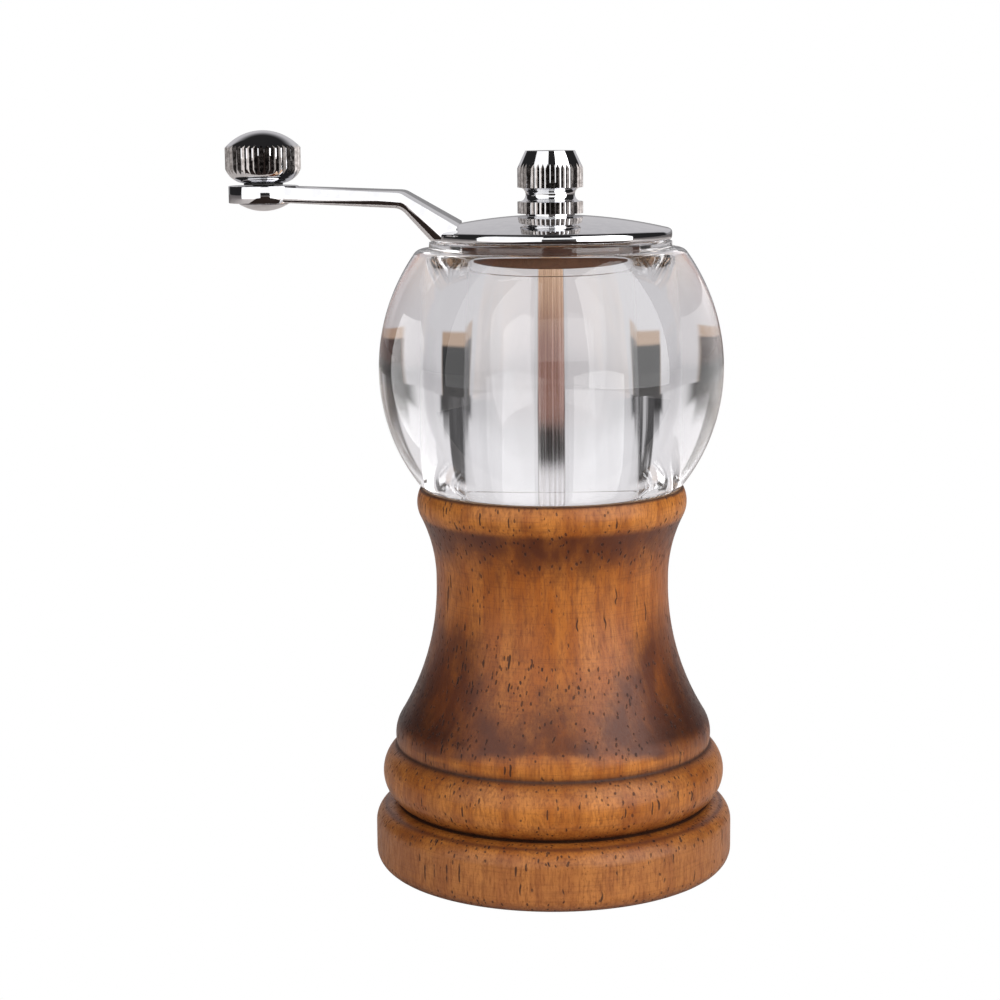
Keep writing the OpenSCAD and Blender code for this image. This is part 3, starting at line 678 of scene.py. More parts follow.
def chrome_plating():
    """Bright plated casting: a mirror with the faint waves that polishing leaves."""
    material, tree, shader = new_material("chrome_plating")
    place = place_mm(tree)
    waves = noise(tree, place, (0.16, 0.16, 0.16), 2.0)
    wipe = noise(tree, place, (0.7, 0.7, 0.7), 3.0)
    colour = tint(tree, remap(tree, wipe, 0.3, 0.75), (0.74, 0.74, 0.76), (0.82, 0.82, 0.83))
    feed(tree, shader, Base_Color=colour, Roughness=remap(tree, wipe, 0.35, 0.75, 0.03, 0.065))
    shader.inputs["Metallic"].default_value = 1.0
    bump(tree, shader, waves, 0.05, 0.25)
    return material


def brushed_metal(name, dark, light, along, rough):
    """Metal drawn or ground in one direction, with streaks along it."""
    material, tree, shader = new_material(name)
    place = place_mm(tree)
    streaks = noise(tree, place, along, 4.0)
    clouds = noise(tree, place, (0.2, 0.2, 0.2), 2.0)
    colour = tint(tree, remap(tree, streaks, 0.3, 0.7), dark, light)
    colour = tint(tree, remap(tree, clouds, 0.45, 0.7, 0, 0.3), colour, dark)
    feed(tree, shader, Base_Color=colour, Roughness=remap(tree, streaks, 0.3, 0.7, *rough))
    shader.inputs["Metallic"].default_value = 1.0
    bump(tree, shader, streaks, 0.04, 0.4)
    return material


def moulded(name, dark, light, rough, speckle):
    """Moulded nylon or fired ceramic: a fine speckle and a slightly uneven sheen."""
    material, tree, shader = new_material(name)
    place = place_mm(tree)
    grains = noise(tree, place, [speckle] * 3, 3.0)
    clouds = noise(tree, place, (0.12, 0.12, 0.12), 2.0)
    colour = tint(tree, remap(tree, grains, 0.35, 0.7), dark, light)
    colour = tint(tree, remap(tree, clouds, 0.4, 0.7, 0, 0.35), colour, dark)
    feed(tree, shader, Base_Color=colour, Roughness=remap(tree, grains, 0.3, 0.7, *rough))
    bump(tree, shader, grains, 0.03, 0.4)
    return material


BEAD_MIDDLE = (BEAD_WIDE_R - BEAD_ROUND_R, BEAD_Z)
FLARE_MIDDLE = (FLARE_WIDE_R - FLARE_ROUND_R, FLARE_Z)
NOTCH = outer_crossing(BEAD_MIDDLE, BEAD_ROUND_R, FLARE_MIDDLE, FLARE_ROUND_R)
NOTCH_Z = NOTCH[1]
LEDGE_R = FOOT_R - FOOT_SHOULDER_R - LEDGE_INSET

STAINED_WOOD = stained_wood()
RAW_WOOD = raw_wood()
ACRYLIC = clear_acrylic()
CHROME = chrome_plating()
# Darker chrome for the knurls' flanks: painted shade
FLANK_CHROME_PAINTED_SHADE = brushed_metal(
    "chrome_painted_shade", (0.15, 0.135, 0.128), (0.34, 0.315, 0.305), (1.5, 1.5, 1.5), (0.1, 0.2))
SHAFT_METAL = brushed_metal(
    "drawn_rod", (0.56, 0.54, 0.53), (0.82, 0.82, 0.83), (3.4, 3.4, 0.05), (0.1, 0.22))
STEEL = brushed_metal("washed_steel", (0.42, 0.42, 0.42), (0.62, 0.62, 0.61), (2.5, 0.12, 2.5), (0.22, 0.4))
SPRING_WIRE = brushed_metal(
    "spring_wire", (0.36, 0.36, 0.37), (0.55, 0.55, 0.56), (3.0, 3.0, 3.0), (0.2, 0.34))
PLUG_BROWN = moulded("brown_plug_stain", (0.085, 0.031, 0.014), (0.13, 0.05, 0.024), (0.4, 0.55), 1.6)
BLACK_NYLON = moulded("black_nylon", (0.012, 0.012, 0.012), (0.03, 0.03, 0.031), (0.42, 0.6), 2.4)
WHITE_NYLON = moulded("white_nylon", (0.66, 0.65, 0.6), (0.8, 0.79, 0.75), (0.38, 0.52), 2.0)
CERAMIC = moulded("burr_ceramic", (0.66, 0.63, 0.56), (0.82, 0.8, 0.74), (0.35, 0.5), 3.0)


# Pieces

def lip_top_radius():
    tilt = math.asin(LIP_DROP / LIP_ROUND_R)
    return LIP_WIDE_R - LIP_ROUND_R + LIP_ROUND_R * math.cos(tilt)


def turned_base():
    foot = (FOOT_R - FOOT_EDGE_R, FOOT_EDGE_R)
    shoulder = (FOOT_R - FOOT_SHOULDER_R, FOOT_RING_TOP - FOOT_SHOULDER_R)
    bead, flare = BEAD_MIDDLE, FLARE_MIDDLE
    lip = (LIP_WIDE_R - LIP_ROUND_R, BASE_TOP - LIP_DROP)
    low_r = hollow_radius(WAIST_R - flare[0], WAIST_LOW - FLARE_Z, FLARE_ROUND_R)
    low_hollow = (WAIST_R + low_r, WAIST_LOW)
    high_r = hollow_radius(WAIST_R - lip[0], lip[1] - WAIST_HIGH, LIP_ROUND_R)
    high_hollow = (WAIST_R + high_r, WAIST_HIGH)
    low_turn = angle_to(flare, low_hollow)
    high_turn = angle_to(high_hollow, lip)
    bead_start = math.degrees(math.asin((FOOT_RING_TOP - BEAD_Z) / BEAD_ROUND_R))
    lip_end = math.degrees(math.asin(LIP_DROP / LIP_ROUND_R))
    socket_r = SPIGOT_R + SOCKET_GAP
    socket_z = SPIGOT_Z - SOCKET_GAP
    outline = [
        (RECESS_R, 0),
        *arc(foot, FOOT_EDGE_R, -90, 0),
        *arc(shoulder, FOOT_SHOULDER_R, 0, 90),
        *arc(bead, BEAD_ROUND_R, bead_start, angle_to(bead, NOTCH)),
        *arc(flare, FLARE_ROUND_R, angle_to(flare, NOTCH), low_turn),
        *arc(low_hollow, low_r, 180 + low_turn, 180),
        *arc(high_hollow, high_r, 180, high_turn),
        *arc(lip, LIP_ROUND_R, high_turn - 180, lip_end),
        (socket_r, BASE_TOP),
        (socket_r, socket_z),
        (BORE_R, socket_z),
        (BORE_R, FUNNEL_TOP),
        (THROAT_R, BARREL_TOP),
        (BARREL_R, BARREL_TOP),
        (BARREL_R, RECESS_TOP),
        (RECESS_R, RECESS_TOP),
        (RECESS_R, 0),
    ]
    piece = lathe("turned_base", outline)
    soften_edges(piece, width=0.25, angle=40)
    hand_over(piece, "mill_body", "stained_wood", [STAINED_WOOD, RAW_WOOD], "wood_base")
    step_r = lip_top_radius() - RAW_STEP_INSET
    for face in piece.data.polygons:
        x, y, z = face.center / MM
        radius = math.hypot(x, y)
        on_step = z > BASE_TOP - RAW_STEP_DEPTH and radius < step_r
        in_bore = radius < WAIST_R - RAW_BORE_WALL
        in_recess = z < RECESS_TOP + RAW_RECESS_H and radius < RECESS_R + RAW_RECESS_W
        face.material_index = int(on_step or in_bore or in_recess)


def clear_hopper():
    foot_r = lip_top_radius() - LIP_MARGIN + BODY_EDGE_R / 2
    top_r = COVER_R + SHOULDER_W
    low_r = bulge_radius(BELLY_Z - BASE_TOP, BODY_R - foot_r)
    high_r = bulge_radius(BODY_TOP - BELLY_Z, BODY_R - top_r)
    low_bulge = (BODY_R - low_r, BELLY_Z)
    high_bulge = (BODY_R - high_r, BELLY_Z)
    edge_z = BASE_TOP + BODY_EDGE_R
    edge = (low_bulge[0] + math.sqrt((low_r - BODY_EDGE_R) ** 2 - (edge_z - BELLY_Z) ** 2), edge_z)
    round_z = BODY_TOP - SHOULDER_R
    shoulder = (high_bulge[0] + math.sqrt((high_r - SHOULDER_R) ** 2 - (round_z - BELLY_Z) ** 2), round_z)
    outline = [
        (WIDE_R, SPIGOT_Z),
        (SPIGOT_R, SPIGOT_Z),
        (SPIGOT_R, BASE_TOP),
        *arc(edge, BODY_EDGE_R, -90, angle_to(low_bulge, edge)),
        *arc(low_bulge, low_r, angle_to(low_bulge, edge), 0),
        *arc(high_bulge, high_r, 0, angle_to(high_bulge, shoulder)),
        *arc(shoulder, SHOULDER_R, angle_to(high_bulge, shoulder), 90),
        (COVER_R, BODY_TOP),
        (COVER_R, NECK_TOP),
        (WIDE_R, NECK_TOP),
        (WIDE_R, NECK_TOP - MOUTH_L),
        (BORE_R, NECK_TOP - MOUTH_L),
        (BORE_R, BASE_TOP + SUMP_L),
        (WIDE_R, BASE_TOP + SUMP_L),
        (WIDE_R, SPIGOT_Z),
    ]
    piece = lathe("clear_hopper", outline)
    hand_over(piece, "mill_body", "clear_acrylic", [ACRYLIC], "clear_body")


def ease_underside(arm, tip_u):
    """Round the arm's lower long edges, more and more from the knob towards the bend."""
    shares = arm.data.attributes.new("bevel_weight_edge", "FLOAT", "EDGE")
    rise = (ARM_TOP_Z - ARM_BEND_Z) / (CRANK_R - ARM_BEND_U)
    for edge in arm.data.edges:
        ends = [arm.data.vertices[index].co / MM for index in edge.vertices]
        along = abs(ends[0].y - ends[1].y) < 1 and abs(ends[0].x - ends[1].x) > MERGE_GAP
        below = all(end.z < ARM_BEND_Z + rise * (-end.x - ARM_BEND_U) - ARM_T / 2 for end in ends)
        outside = all(-end.x > COVER_R - RIM_LOW_R for end in ends)
        if along and below and outside:
            reach = (-sum(end.x for end in ends) / 2 - ARM_BEND_U) / (tip_u - ARM_BEND_U)
            shares.data[edge.index].value = 1 - (1 - ARM_TIP_EASE) * min(1, max(0, reach))
    apply_modifier(
        arm, "BEVEL", width=ARM_EASE_R * MM, segments=4, limit_method="WEIGHT",
        edge_weight="bevel_weight_edge", use_clamp_overlap=False,
    )


def crank_arm():
    """The bent arm: its side outline, drawn out to its width and tapered towards the knob."""
    dome_z = COVER_Z + COVER_H - DOME_R
    root_z = dome_z + math.sqrt(DOME_R ** 2 - ARM_ROOT_U ** 2)
    tip_u = CRANK_R - BOSS_R / 2
    rise = (ARM_TOP_Z - ARM_BEND_Z) / (CRANK_R - ARM_BEND_U)
    tip_z = ARM_BEND_Z + rise * (tip_u - ARM_BEND_U)
    root, bend, tip = (-ARM_ROOT_U, root_z), (-ARM_BEND_U, ARM_BEND_Z), (-tip_u, tip_z)
    under_tip, under_bend = (-tip_u, tip_z - ARM_T), (-ARM_BEND_U, ARM_BEND_Z - ARM_T)
    rim = (-(COVER_R - RIM_LOW_R / 2), COVER_Z + RIM_LOW_R)
    inside = (-ARM_ROOT_U, COVER_Z + RIM_LOW_R)
    shares = [i / ARM_UNDER_STEPS for i in range(ARM_UNDER_STEPS - 1)]
    under_run = [Vector(under_tip).lerp(Vector(under_bend), share) for share in shares]
    outline = [
        inside,
        root,
        *rounded_corner(root, bend, tip, BEND_R),
        tip,
        *under_run,
        *rounded_corner(under_tip, under_bend, rim, BEND_R),
        rim,
        inside,
    ]
    arm = draw_line("crank_arm", [(x, -ARM_ROOT_W / 2, z) for x, z in outline])
    close_mesh()
    bpy.ops.mesh.edge_face_add()
    bpy.ops.mesh.extrude_region_move(TRANSFORM_OT_translate={"value": (0, ARM_ROOT_W * MM, 0)})
    close_mesh()
    leave_edit()
    stations = {round(vertex.co.x / MM, 4) for vertex in arm.data.vertices}
    for station in stations:
        along = (-station - ARM_ROOT_U) / (tip_u - ARM_ROOT_U)
        width = ARM_ROOT_W + (ARM_TIP_W - ARM_ROOT_W) * along
        pick_vertices(arm, lambda at: abs(at.x - station) < MERGE_GAP)
        bpy.ops.transform.resize(
            value=(1, width / ARM_ROOT_W, 1), center_override=(station * MM, 0, 0))
        leave_edit()
    ease_underside(arm, tip_u)
    soften_edges(arm)
    return arm


def crank_casting():
    """Domed cover, arm and boss as one plated casting."""
    low = (COVER_R - RIM_LOW_R, COVER_Z + RIM_LOW_R)
    dome = (0, COVER_Z + COVER_H - DOME_R)
    top_u = COVER_R - RIM_TOP_R
    top = (top_u, dome[1] + math.sqrt((DOME_R - RIM_TOP_R) ** 2 - top_u ** 2))
    top_turn = angle_to(dome, top)
    seat_turn = math.degrees(math.acos(SEAT_R / DOME_R))
    seat_z = dome[1] + math.sqrt(DOME_R ** 2 - SEAT_R ** 2)
    hub_end = COVER_LOW.z
    outline = [
        (0, hub_end),
        (HUB_R, hub_end),
        (HUB_R, COVER_Z + HOLLOW_H),
        (COVER_R - RIM_W, COVER_Z + HOLLOW_H),
        (COVER_R - RIM_W, COVER_Z),
        *arc(low, RIM_LOW_R, -90, 0),
        *arc(top, RIM_TOP_R, 0, top_turn),
        *arc(dome, DOME_R, top_turn, seat_turn),
        (0, seat_z),
    ]
    piece = lathe("crank_casting", outline)
    combine(piece, crank_arm(), "UNION")
    boss = round_bar("boss", BOSS_R, BOSS_UNDER, ARM_TOP_Z, KNOB_X)
    soften_edges(boss, width=0.1)
    combine(piece, boss, "UNION")
    pin_hole = round_bar("pin_hole", PIN_HOLE_R, BOSS_UNDER - CUT_PAST, ARM_TOP_Z + CUT_PAST, KNOB_X)
    combine(piece, pin_hole, "DIFFERENCE")
    hole_w = SHAFT_W + SQUARE_HOLE_GAP
    combine(piece, square_bar("square_hole", hole_w, hub_end - CUT_PAST, seat_z + CUT_PAST), "DIFFERENCE")
    hand_over(piece, "cover", "chrome_plate", [CHROME], "crank_cover")


def mouth_plug():
    outline = [
        (PLUG_SHAFT_HOLE_R, PLUG_LOW.z),
        (PLUG_HIGH.x, PLUG_LOW.z),
        (PLUG_HIGH.x, PLUG_HIGH.z),
        (PLUG_HUB_HOLE_R, PLUG_HIGH.z),
        (PLUG_HUB_HOLE_R, PLUG_HUB_FLOOR),
        (PLUG_SHAFT_HOLE_R, PLUG_HUB_FLOOR),
        (PLUG_SHAFT_HOLE_R, PLUG_LOW.z),
    ]
    piece = lathe("mouth_plug", outline)
    soften_edges(piece, width=0.4, segments=3)
    hand_over(piece, "cover", "brown_plug", [PLUG_BROWN], "cover_plug")


def thumb_nut():
    low_z = NUT_LOW.z + NUT_FOOT_H
    neck_z = low_z + NUT_LOW_H
    up_z = neck_z + NUT_NECK_H
    cone_z = up_z + NUT_UP_H
    edge_r = NUT_R - KNURL_DEPTH
    groove_r = bulge_radius(NUT_NECK_H / 2, edge_r - NUT_NECK_R)
    groove = (NUT_NECK_R + groove_r, neck_z + NUT_NECK_H / 2)
    groove_turn = angle_to(groove, (edge_r, up_z))
    outline = [
        (0, NUT_LOW.z),
        (NUT_NECK_R, NUT_LOW.z),
        (NUT_NECK_R, low_z),
        (NUT_R, low_z),
        (NUT_R, neck_z),
        *arc(groove, groove_r, 360 - groove_turn, groove_turn),
        (NUT_R, up_z),
        (NUT_R, cone_z),
        (NUT_TOP_R, NUT_HIGH.z),
        (0, NUT_HIGH.z),
    ]
    piece = lathe("thumb_nut", outline, steps=KNURLED_SPIN_STEPS)
    star = knurl_star(NUT_R, NUT_LOW.z - CUT_PAST, NUT_HIGH.z + CUT_PAST, 0)
    combine(piece, star, "INTERSECT")
    hole = round_bar("thread_hole", THREAD_HOLE_R, NUT_LOW.z - CUT_PAST, NUT_LOW.z + THREAD_HOLE_H)
    combine(piece, hole, "DIFFERENCE")
    heal(piece)
    hand_over(piece, "nut", "chrome_plate", [CHROME, FLANK_CHROME_PAINTED_SHADE], "adjusting_nut")
    shade_flanks(piece, 0)


def shade_flanks(piece, axis_x):
    """Give the knurls' flanks the second material: a darker chrome as painted shade."""
    for face in piece.data.polygons:
        outwards = Vector((face.center.x - axis_x * MM, face.center.y, 0)).normalized()
        upright_face = abs(face.normal.z) < FLANK_SLOPE
        face.material_index = int(upright_face and abs(face.normal.dot(outwards)) < FLANK_TURN)


def knurled_knob():
    band_z = KNOB_LOW.z + KNOB_UNDER_H
    cap_z = band_z + KNOB_BAND_H
    cap_r = bulge_radius(KNOB_R, KNOB_CAP_H)
    cap = (0, KNOB_HIGH.z - cap_r)
    foot, edge = (KNOB_FOOT_R, KNOB_LOW.z), (KNOB_R, band_z)
    under_r = math.dist(foot, edge)
    lean = math.radians(angle_to(foot, edge) + KNOB_UNDER_ARC)
    under = (foot[0] + under_r * math.cos(lean), foot[1] + under_r * math.sin(lean))
    cap_start = math.degrees(math.asin((cap_z - cap[1]) / cap_r))
    outline = [
        (0, KNOB_LOW.z),
        *arc(under, under_r, angle_to(under, foot), angle_to(under, edge)),
        *arc(cap, cap_r, cap_start, 90),
    ]
    piece = lathe("knurled_knob", outline, KNOB_X, KNURLED_SPIN_STEPS)
    star = knurl_star(KNOB_R, KNOB_LOW.z - CUT_PAST, KNOB_HIGH.z + CUT_PAST, KNOB_X)
    combine(piece, star, "INTERSECT")
    hole = round_bar("pin_socket", PIN_HOLE_R, KNOB_LOW.z - CUT_PAST, RIVET_HIGH.z + PIN_END_GAP, KNOB_X)
    combine(piece, hole, "DIFFERENCE")
    heal(piece)
    hand_over(piece, "knob", "chrome_plate", [CHROME, FLANK_CHROME_PAINTED_SHADE], "crank_knob")
    shade_flanks(piece, KNOB_X)


def domed_rivet():
    head_top = RIVET_LOW.z + RIVET_HEAD_H
    dome_r = bulge_radius(RIVET_HEAD_R, RIVET_HEAD_H)
    edge_turn = math.degrees(math.asin(RIVET_HEAD_R / dome_r))
    outline = [
        *arc((0, RIVET_LOW.z + dome_r), dome_r, -90, -90 + edge_turn),
        (PIN_R, head_top),
        (PIN_R, RIVET_HIGH.z),
        (0, RIVET_HIGH.z),
    ]
    piece = lathe("domed_rivet", outline, KNOB_X, SMALL_SPIN_STEPS)
    soften_edges(piece, width=0.1)
    hand_over(piece, "knob", "chrome_plate", [CHROME], "knob_rivet")


def knob_spacer():
    outer_r = WASHER_HIGH.x - KNOB_X
    outline = [
        (PIN_HOLE_R, WASHER_LOW.z),
        (outer_r, WASHER_LOW.z),
        (outer_r, WASHER_HIGH.z),
        (PIN_HOLE_R, WASHER_HIGH.z),
        (PIN_HOLE_R, WASHER_LOW.z),
    ]
    piece = lathe("knob_spacer", outline, KNOB_X, SMALL_SPIN_STEPS)
    soften_edges(piece, width=0.08)
    hand_over(piece, "knob", "black_nylon", [BLACK_NYLON], "knob_washer")


def square_shaft():
    """Square rod with a thinner square tail and a round thread, its long edges eased."""
    piece = square_bar("square_shaft", SHAFT_W, SQUARE_LOW, SQUARE_TOP)
    soften_edges(piece, segments=1)
    tail = square_bar("tail", TAIL_W, SHAFT_LOW.z, SQUARE_LOW + CUT_PAST)
    soften_edges(tail)
    combine(piece, tail, "UNION")
    thread = round_bar("thread", THREAD_R, SQUARE_TOP - CUT_PAST, SHAFT_HIGH.z)
    soften_edges(thread, width=0.25)
    combine(piece, thread, "UNION")
    hand_over(piece, "shaft", "brushed_shaft", [SHAFT_METAL], "drive_shaft")


def coil_spring():
    """Round wire wound between the bush and the cone's core."""
    coil_r = SPRING_HIGH.x - WIRE_R
    rise = SPRING_HIGH.z - SPRING_LOW.z - 2 * WIRE_R
    fresh_start()
    bpy.ops.mesh.primitive_circle_add(
        vertices=WIRE_SIDES, radius=WIRE_R * MM, rotation=(math.pi / 2, 0, 0),
        location=(coil_r * MM, 0, (SPRING_LOW.z + WIRE_R) * MM),
    )
    piece = bpy.context.active_object
    piece.name = "coil_spring"
    settle(piece)
    steps = round(COIL_STEPS * SPRING_TURNS)
    apply_modifier(
        piece, "SCREW", axis="Z", angle=math.tau * SPRING_TURNS, screw_offset=rise * MM,
        steps=steps, render_steps=steps, use_smooth_shade=True,
    )
    enter_edit(piece)
    bpy.ops.mesh.select_all(action="SELECT")
    bpy.ops.mesh.fill_holes(sides=0)
    close_mesh()
    leave_edit()
    piece.data.materials.clear()
    piece.data.materials.append(SPRING_WIRE)
    smooth(piece)
    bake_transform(piece)
    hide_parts("grind_spring")


turned_base()
clear_hopper()
crank_casting()
mouth_plug()
thumb_nut()
knurled_knob()
domed_rivet()
knob_spacer()
square_shaft()
coil_spring()

KEPT_SOLIDS = {
    "burr_housing": BLACK_NYLON,
    "cone_core": BLACK_NYLON,
    "burr_ring": CERAMIC,
    "burr_cone": CERAMIC,
    "drive_bush": WHITE_NYLON,
    "retaining_plate": STEEL,
    "plate_screws": STEEL,
    "thrust_washer": STEEL,
    "cone_washer": STEEL,
    "cone_screw": STEEL,
}
for name, material in KEPT_SOLIDS.items():
    frame["nodes"][name].material_slots[0].material = material


# Studio, whose floor, lamps and card are in metres

CAMERA_FOCUS_PX = 2350
IMAGE_PX = 1000
SENSOR_W = 36.0
CAMERA_DISTANCE = 386.0
CAMERA_HEIGHT = 126.6
CAMERA_PITCH = 9.5
CAMERA_YAW = 1.28
CAMERA_ROLL = -0.5
AMBIENT = 0.19
ROOM_DARK = 0.022
WALL_MIRRORED = 0.56
WALL_MIRRORED_LOW = 0.45 * WALL_MIRRORED
WALL_SEEN_THROUGH = (0.58, 0.73)
FLOOR_SIZE = 6.0
FLOOR_DROP = 0.1 * MM
FLOOR_COLOUR = (0.7, 0.65, 0.62)
FLOOR_SEEN_THROUGH = (0.61, 0.596, 0.615)
FLOOR_FAR = (0.49, 0.478, 0.495)
TABLE_NEAR = (0.98, 0.67, 0.46)
TABLE_FAR = (0.4, 0.21, 0.17)
TABLE_EDGE = (0.42, 0.3, 0.22)
TABLE_SHADE = (0.03, 0.021, 0.018)
SHADE_PLACE = (0.045, -0.57, 0.002)
SHADE_SIZE = (0.57, 1.06)
LIGHT_BOUNCES = 24
MIRROR_BOUNCES = 16

# Where the floor changes, as (from, to): along Y, or by its distance from the mill
FLOOR_FAR_Y = (0.3, 0.9)
TABLE_Y = (-0.5, -0.12)
TABLE_END_Y = (-0.04, -0.03)
EDGE_REACH = (0.3, 0.32)
DARK_REACH = (0.37, 0.4)

# Where the surroundings change, as (from, to) along Y of a level direction: -1 is the camera's side
FRONT = (-0.8, -0.4)
TABLE_AHEAD = (-0.6, -0.3)
FLOOR_SIDE_START = (0.05, 0.1)
SIDE_START = (0.05, 0.15)
SIDE_END = (0.57, 0.63)
WALL_JOIN = (0.7, 0.76)
BACK_WALL = (0.74, 0.82)


def camera():
    data = bpy.data.cameras.new("camera")
    data.lens = CAMERA_FOCUS_PX / IMAGE_PX * SENSOR_W
    data.sensor_width = SENSOR_W
    data.sensor_fit = "HORIZONTAL"
    data.clip_start = 0.01
    eye = bpy.data.objects.new("camera", data)
    bpy.context.scene.collection.objects.link(eye)
    turn = Matrix.Rotation(math.radians(CAMERA_YAW), 4, "Z")
    tilt = Matrix.Rotation(math.radians(90 - CAMERA_PITCH), 4, "X")
    roll = Matrix.Rotation(math.radians(CAMERA_ROLL), 4, "Z")
    place = Matrix.Translation((0, -CAMERA_DISTANCE * MM, CAMERA_HEIGHT * MM))
    eye.matrix_world = place @ turn @ tilt @ roll
    bpy.context.scene.camera = eye


def softbox(name, azimuth, width, low, high, radiance, distance=0.6, mirrored=True, seen_through=True):
    """An upright lamp that faces the mill's axis. Azimuth 0 is the camera's side."""
    data = bpy.data.lights.new(name, "AREA")
    data.shape = "RECTANGLE"
    data.size, data.size_y = width, high - low
    data.energy = radiance * math.pi * width * (high - low)
    lamp = bpy.data.objects.new(name, data)
    bpy.context.scene.collection.objects.link(lamp)
    turn = math.radians(azimuth)
    away = Vector((math.sin(turn), -math.cos(turn), 0))
    facing = (-away).to_track_quat("-Z", "Y").to_matrix().to_4x4()
    middle = Vector((0, 0, (low + high) / 2))
    lamp.matrix_world = Matrix.Translation(away * distance + middle) @ facing
    lamp.visible_camera = False
    lamp.visible_glossy = mirrored
    lamp.visible_transmission = seen_through


def table_shade():
    """A dark card on the floor in front of the mill, which only mirrors see."""
    fresh_start()
    bpy.ops.mesh.primitive_plane_add(size=1)
    piece = bpy.context.active_object
    piece.name = "table_shade"
    piece.matrix_world = Matrix.Translation(SHADE_PLACE) @ Matrix.Diagonal((*SHADE_SIZE, 1, 1))
    material, _, shader = new_material("table_shade")
    shader.inputs["Base Color"].default_value = (0, 0, 0, 1)
    shader.inputs["Specular IOR Level"].default_value = 0
    shader.inputs["Emission Color"].default_value = (*TABLE_SHADE, 1)
    shader.inputs["Emission Strength"].default_value = 1
    piece.data.materials.append(material)
    piece.visible_camera = False
    piece.visible_diffuse = False
    piece.visible_transmission = False
    piece.visible_shadow = False


def floor_through_hopper(tree):
    """Colour of the floor seen through the hopper: pale behind, dark sides, a brown table in front."""
    place = put(tree, "ShaderNodeTexCoord").outputs["Object"]
    y = put(tree, "ShaderNodeSeparateXYZ", {0: place}).outputs["Y"]
    reach = put(tree, "ShaderNodeVectorMath", {0: place}, operation="LENGTH").outputs["Value"]
    turned = calc(tree, "DIVIDE", y, greatest(tree, reach, 0.01))
    side = product(tree, remap(tree, turned, *FLOOR_SIDE_START), remap(tree, turned, *WALL_JOIN, 1, 0))
    colour = tint(tree, remap(tree, y, *FLOOR_FAR_Y), FLOOR_SEEN_THROUGH, FLOOR_FAR)
    colour = tint(tree, product(tree, side, remap(tree, reach, *EDGE_REACH)), colour, TABLE_EDGE)
    colour = tint(tree, product(tree, side, remap(tree, reach, *DARK_REACH)), colour, [ROOM_DARK] * 3)
    table = tint(tree, remap(tree, y, *TABLE_Y), TABLE_FAR, TABLE_NEAR)
    return tint(tree, remap(tree, y, *TABLE_END_Y), table, colour)


def floor():
    """Pale floor, white to the camera from above and clear to it from below."""
    fresh_start()
    bpy.ops.mesh.primitive_plane_add(size=FLOOR_SIZE, location=(0, 0, -FLOOR_DROP))
    piece = bpy.context.active_object
    piece.name = "floor"
    material, tree, shader = new_material("pale_floor")
    shader.inputs["Base Color"].default_value = (*FLOOR_COLOUR, 1)
    shader.inputs["Roughness"].default_value = 0.9
    rays = put(tree, "ShaderNodeLightPath").outputs
    white = put(tree, "ShaderNodeEmission", {"Strength": 1.0})
    pale = put(tree, "ShaderNodeEmission", {"Color": floor_through_hopper(tree)})
    through = put(tree, "ShaderNodeMixShader", {
        0: rays["Is Transmission Ray"], 1: shader.outputs[0], 2: pale.outputs[0]})
    below = put(tree, "ShaderNodeNewGeometry").outputs["Backfacing"]
    clear = put(tree, "ShaderNodeBsdfTransparent")
    to_camera = put(tree, "ShaderNodeMixShader", {0: below, 1: white.outputs[0], 2: clear.outputs[0]})
    seen = put(tree, "ShaderNodeMixShader", {
        0: rays["Is Camera Ray"], 1: through.outputs[0], 2: to_camera.outputs[0]})
    tree.links.new(seen.outputs[0], tree.nodes["Material Output"].inputs["Surface"])
    piece.data.materials.append(material)


def room_mirrored(tree, up, behind):
    """Brightness that metal mirrors: a grey back wall that fades upwards."""
    dusk = remap(tree, up, 0.03, 0.13, WALL_MIRRORED_LOW, WALL_MIRRORED)
    fade = product(tree, dusk, remap(tree, up, 0.45, 0.8, 1.0, 0.0))
    return product(tree, remap(tree, behind, *BACK_WALL), fade)


def room_through_hopper(tree, direction, up, behind, across, ahead):
    """Brightness that the hopper shows: pale walls, a dim join, dark curtained sides, the table ahead."""
    shaded = calc(tree, "SUBTRACT", up, remap(tree, behind, *FRONT, 0.18, 0.0))
    bright = greatest(tree, remap(tree, behind, *BACK_WALL), remap(tree, shaded, 0.03, 0.09))
    bright = product(tree, bright, remap(tree, behind, *FRONT, 1.45, 1.0))
    join = product(tree, remap(tree, behind, *SIDE_END), remap(tree, behind, *WALL_JOIN, 1, 0))
    dim = remap(tree, up, 0.08, 0.22, 0.3, 1.0)
    bright = product(tree, bright, remap(tree, join, 0, 1, 1.0, dim))
    walls = product(tree, bright, remap(tree, up, 0.0, 0.2, *WALL_SEEN_THROUGH))
    side = product(
        tree, remap(tree, behind, *SIDE_START), remap(tree, behind, *SIDE_END, 1, 0),
        remap(tree, up, 0.45, 0.6, 1, 0))
    folds = noise(tree, direction, (9.0, 9.0, 0.4), 3.0)
    curtain = remap(tree, folds, 0.45, 0.7, 0.03, remap(tree, across, -0.1, 0.1, 0.12, 0.45))
    sided = remap(tree, side, 0, 1, walls, curtain)
    return greatest(tree, sided, product(tree, ahead, max(TABLE_FAR)))


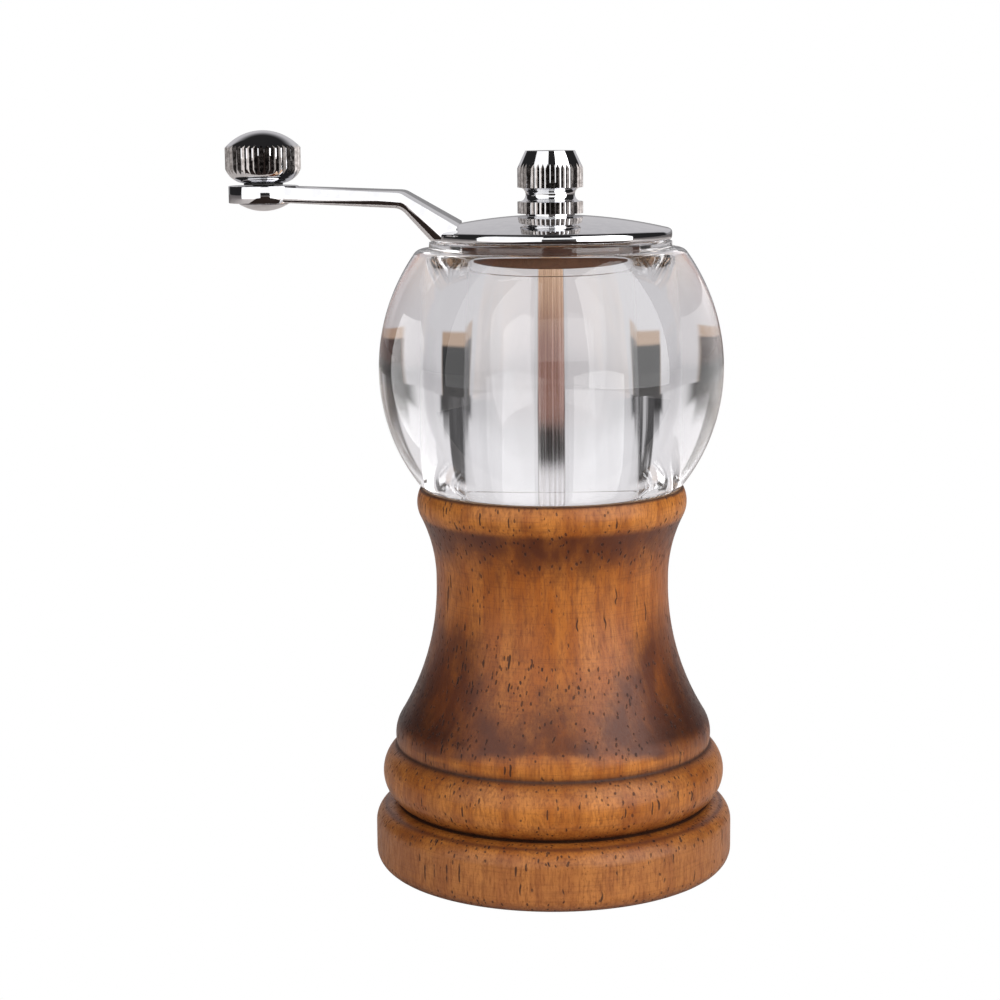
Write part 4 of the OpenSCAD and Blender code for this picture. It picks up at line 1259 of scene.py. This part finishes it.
def world():
    """White for the camera, a soft fill for matt surfaces, a room of its own for metal and hopper."""
    surroundings = bpy.data.worlds.new("studio")
    bpy.context.scene.world = surroundings
    surroundings.use_nodes = True
    tree = surroundings.node_tree
    background = tree.nodes["Background"]
    rays = put(tree, "ShaderNodeLightPath").outputs
    direction = put(tree, "ShaderNodeTexCoord").outputs["Generated"]
    xyz = put(tree, "ShaderNodeSeparateXYZ", {0: direction})
    across, up = xyz.outputs["X"], xyz.outputs["Z"]
    level = calc(tree, "SQRT", calc(tree, "SUBTRACT", 1.0, calc(tree, "POWER", up, 2.0)))
    behind = calc(tree, "DIVIDE", xyz.outputs["Y"], greatest(tree, level, 0.01))
    ahead = product(tree, remap(tree, behind, *TABLE_AHEAD, 1, 0), remap(tree, up, 0.06, 0.1, 1, 0))
    seen_through = room_through_hopper(tree, direction, up, behind, across, ahead)
    room = remap(tree, rays["Is Transmission Ray"], 0, 1, room_mirrored(tree, up, behind), seen_through)
    room = calc(tree, "ADD", room, ROOM_DARK)
    fill = remap(tree, rays["Is Diffuse Ray"], 0, 1, room, AMBIENT)
    glow = remap(tree, rays["Is Camera Ray"], 0, 1, fill, 1.0)
    tree.links.new(glow, background.inputs["Strength"])
    browned = product(tree, ahead, rays["Is Transmission Ray"])
    shade = tint(tree, rays["Is Camera Ray"], (1.0, 0.98, 1.01), (1, 1, 1))
    shade = tint(tree, browned, shade, [c / max(TABLE_FAR) for c in TABLE_FAR])
    tree.links.new(shade, background.inputs["Color"])


camera()
world()
floor()
softbox("softbox_left", azimuth=-40, width=0.75, low=0.0, high=1.0, radiance=1.28)
softbox("softbox_right", azimuth=53, width=0.665, low=0.0, high=1.0, radiance=2.8)
softbox("softbox_front", azimuth=8, width=0.36, low=0.17, high=0.46, radiance=1.25, seen_through=False)
softbox(
    "softbox_back", azimuth=180, width=0.7, low=0.05, high=0.85, radiance=2.0, distance=0.8,
    mirrored=False, seen_through=False)
table_shade()
bpy.context.scene.view_settings.view_transform = "Standard"
light_paths = bpy.context.scene.cycles
light_paths.max_bounces = light_paths.transmission_bounces = LIGHT_BOUNCES
light_paths.glossy_bounces = MIRROR_BOUNCES
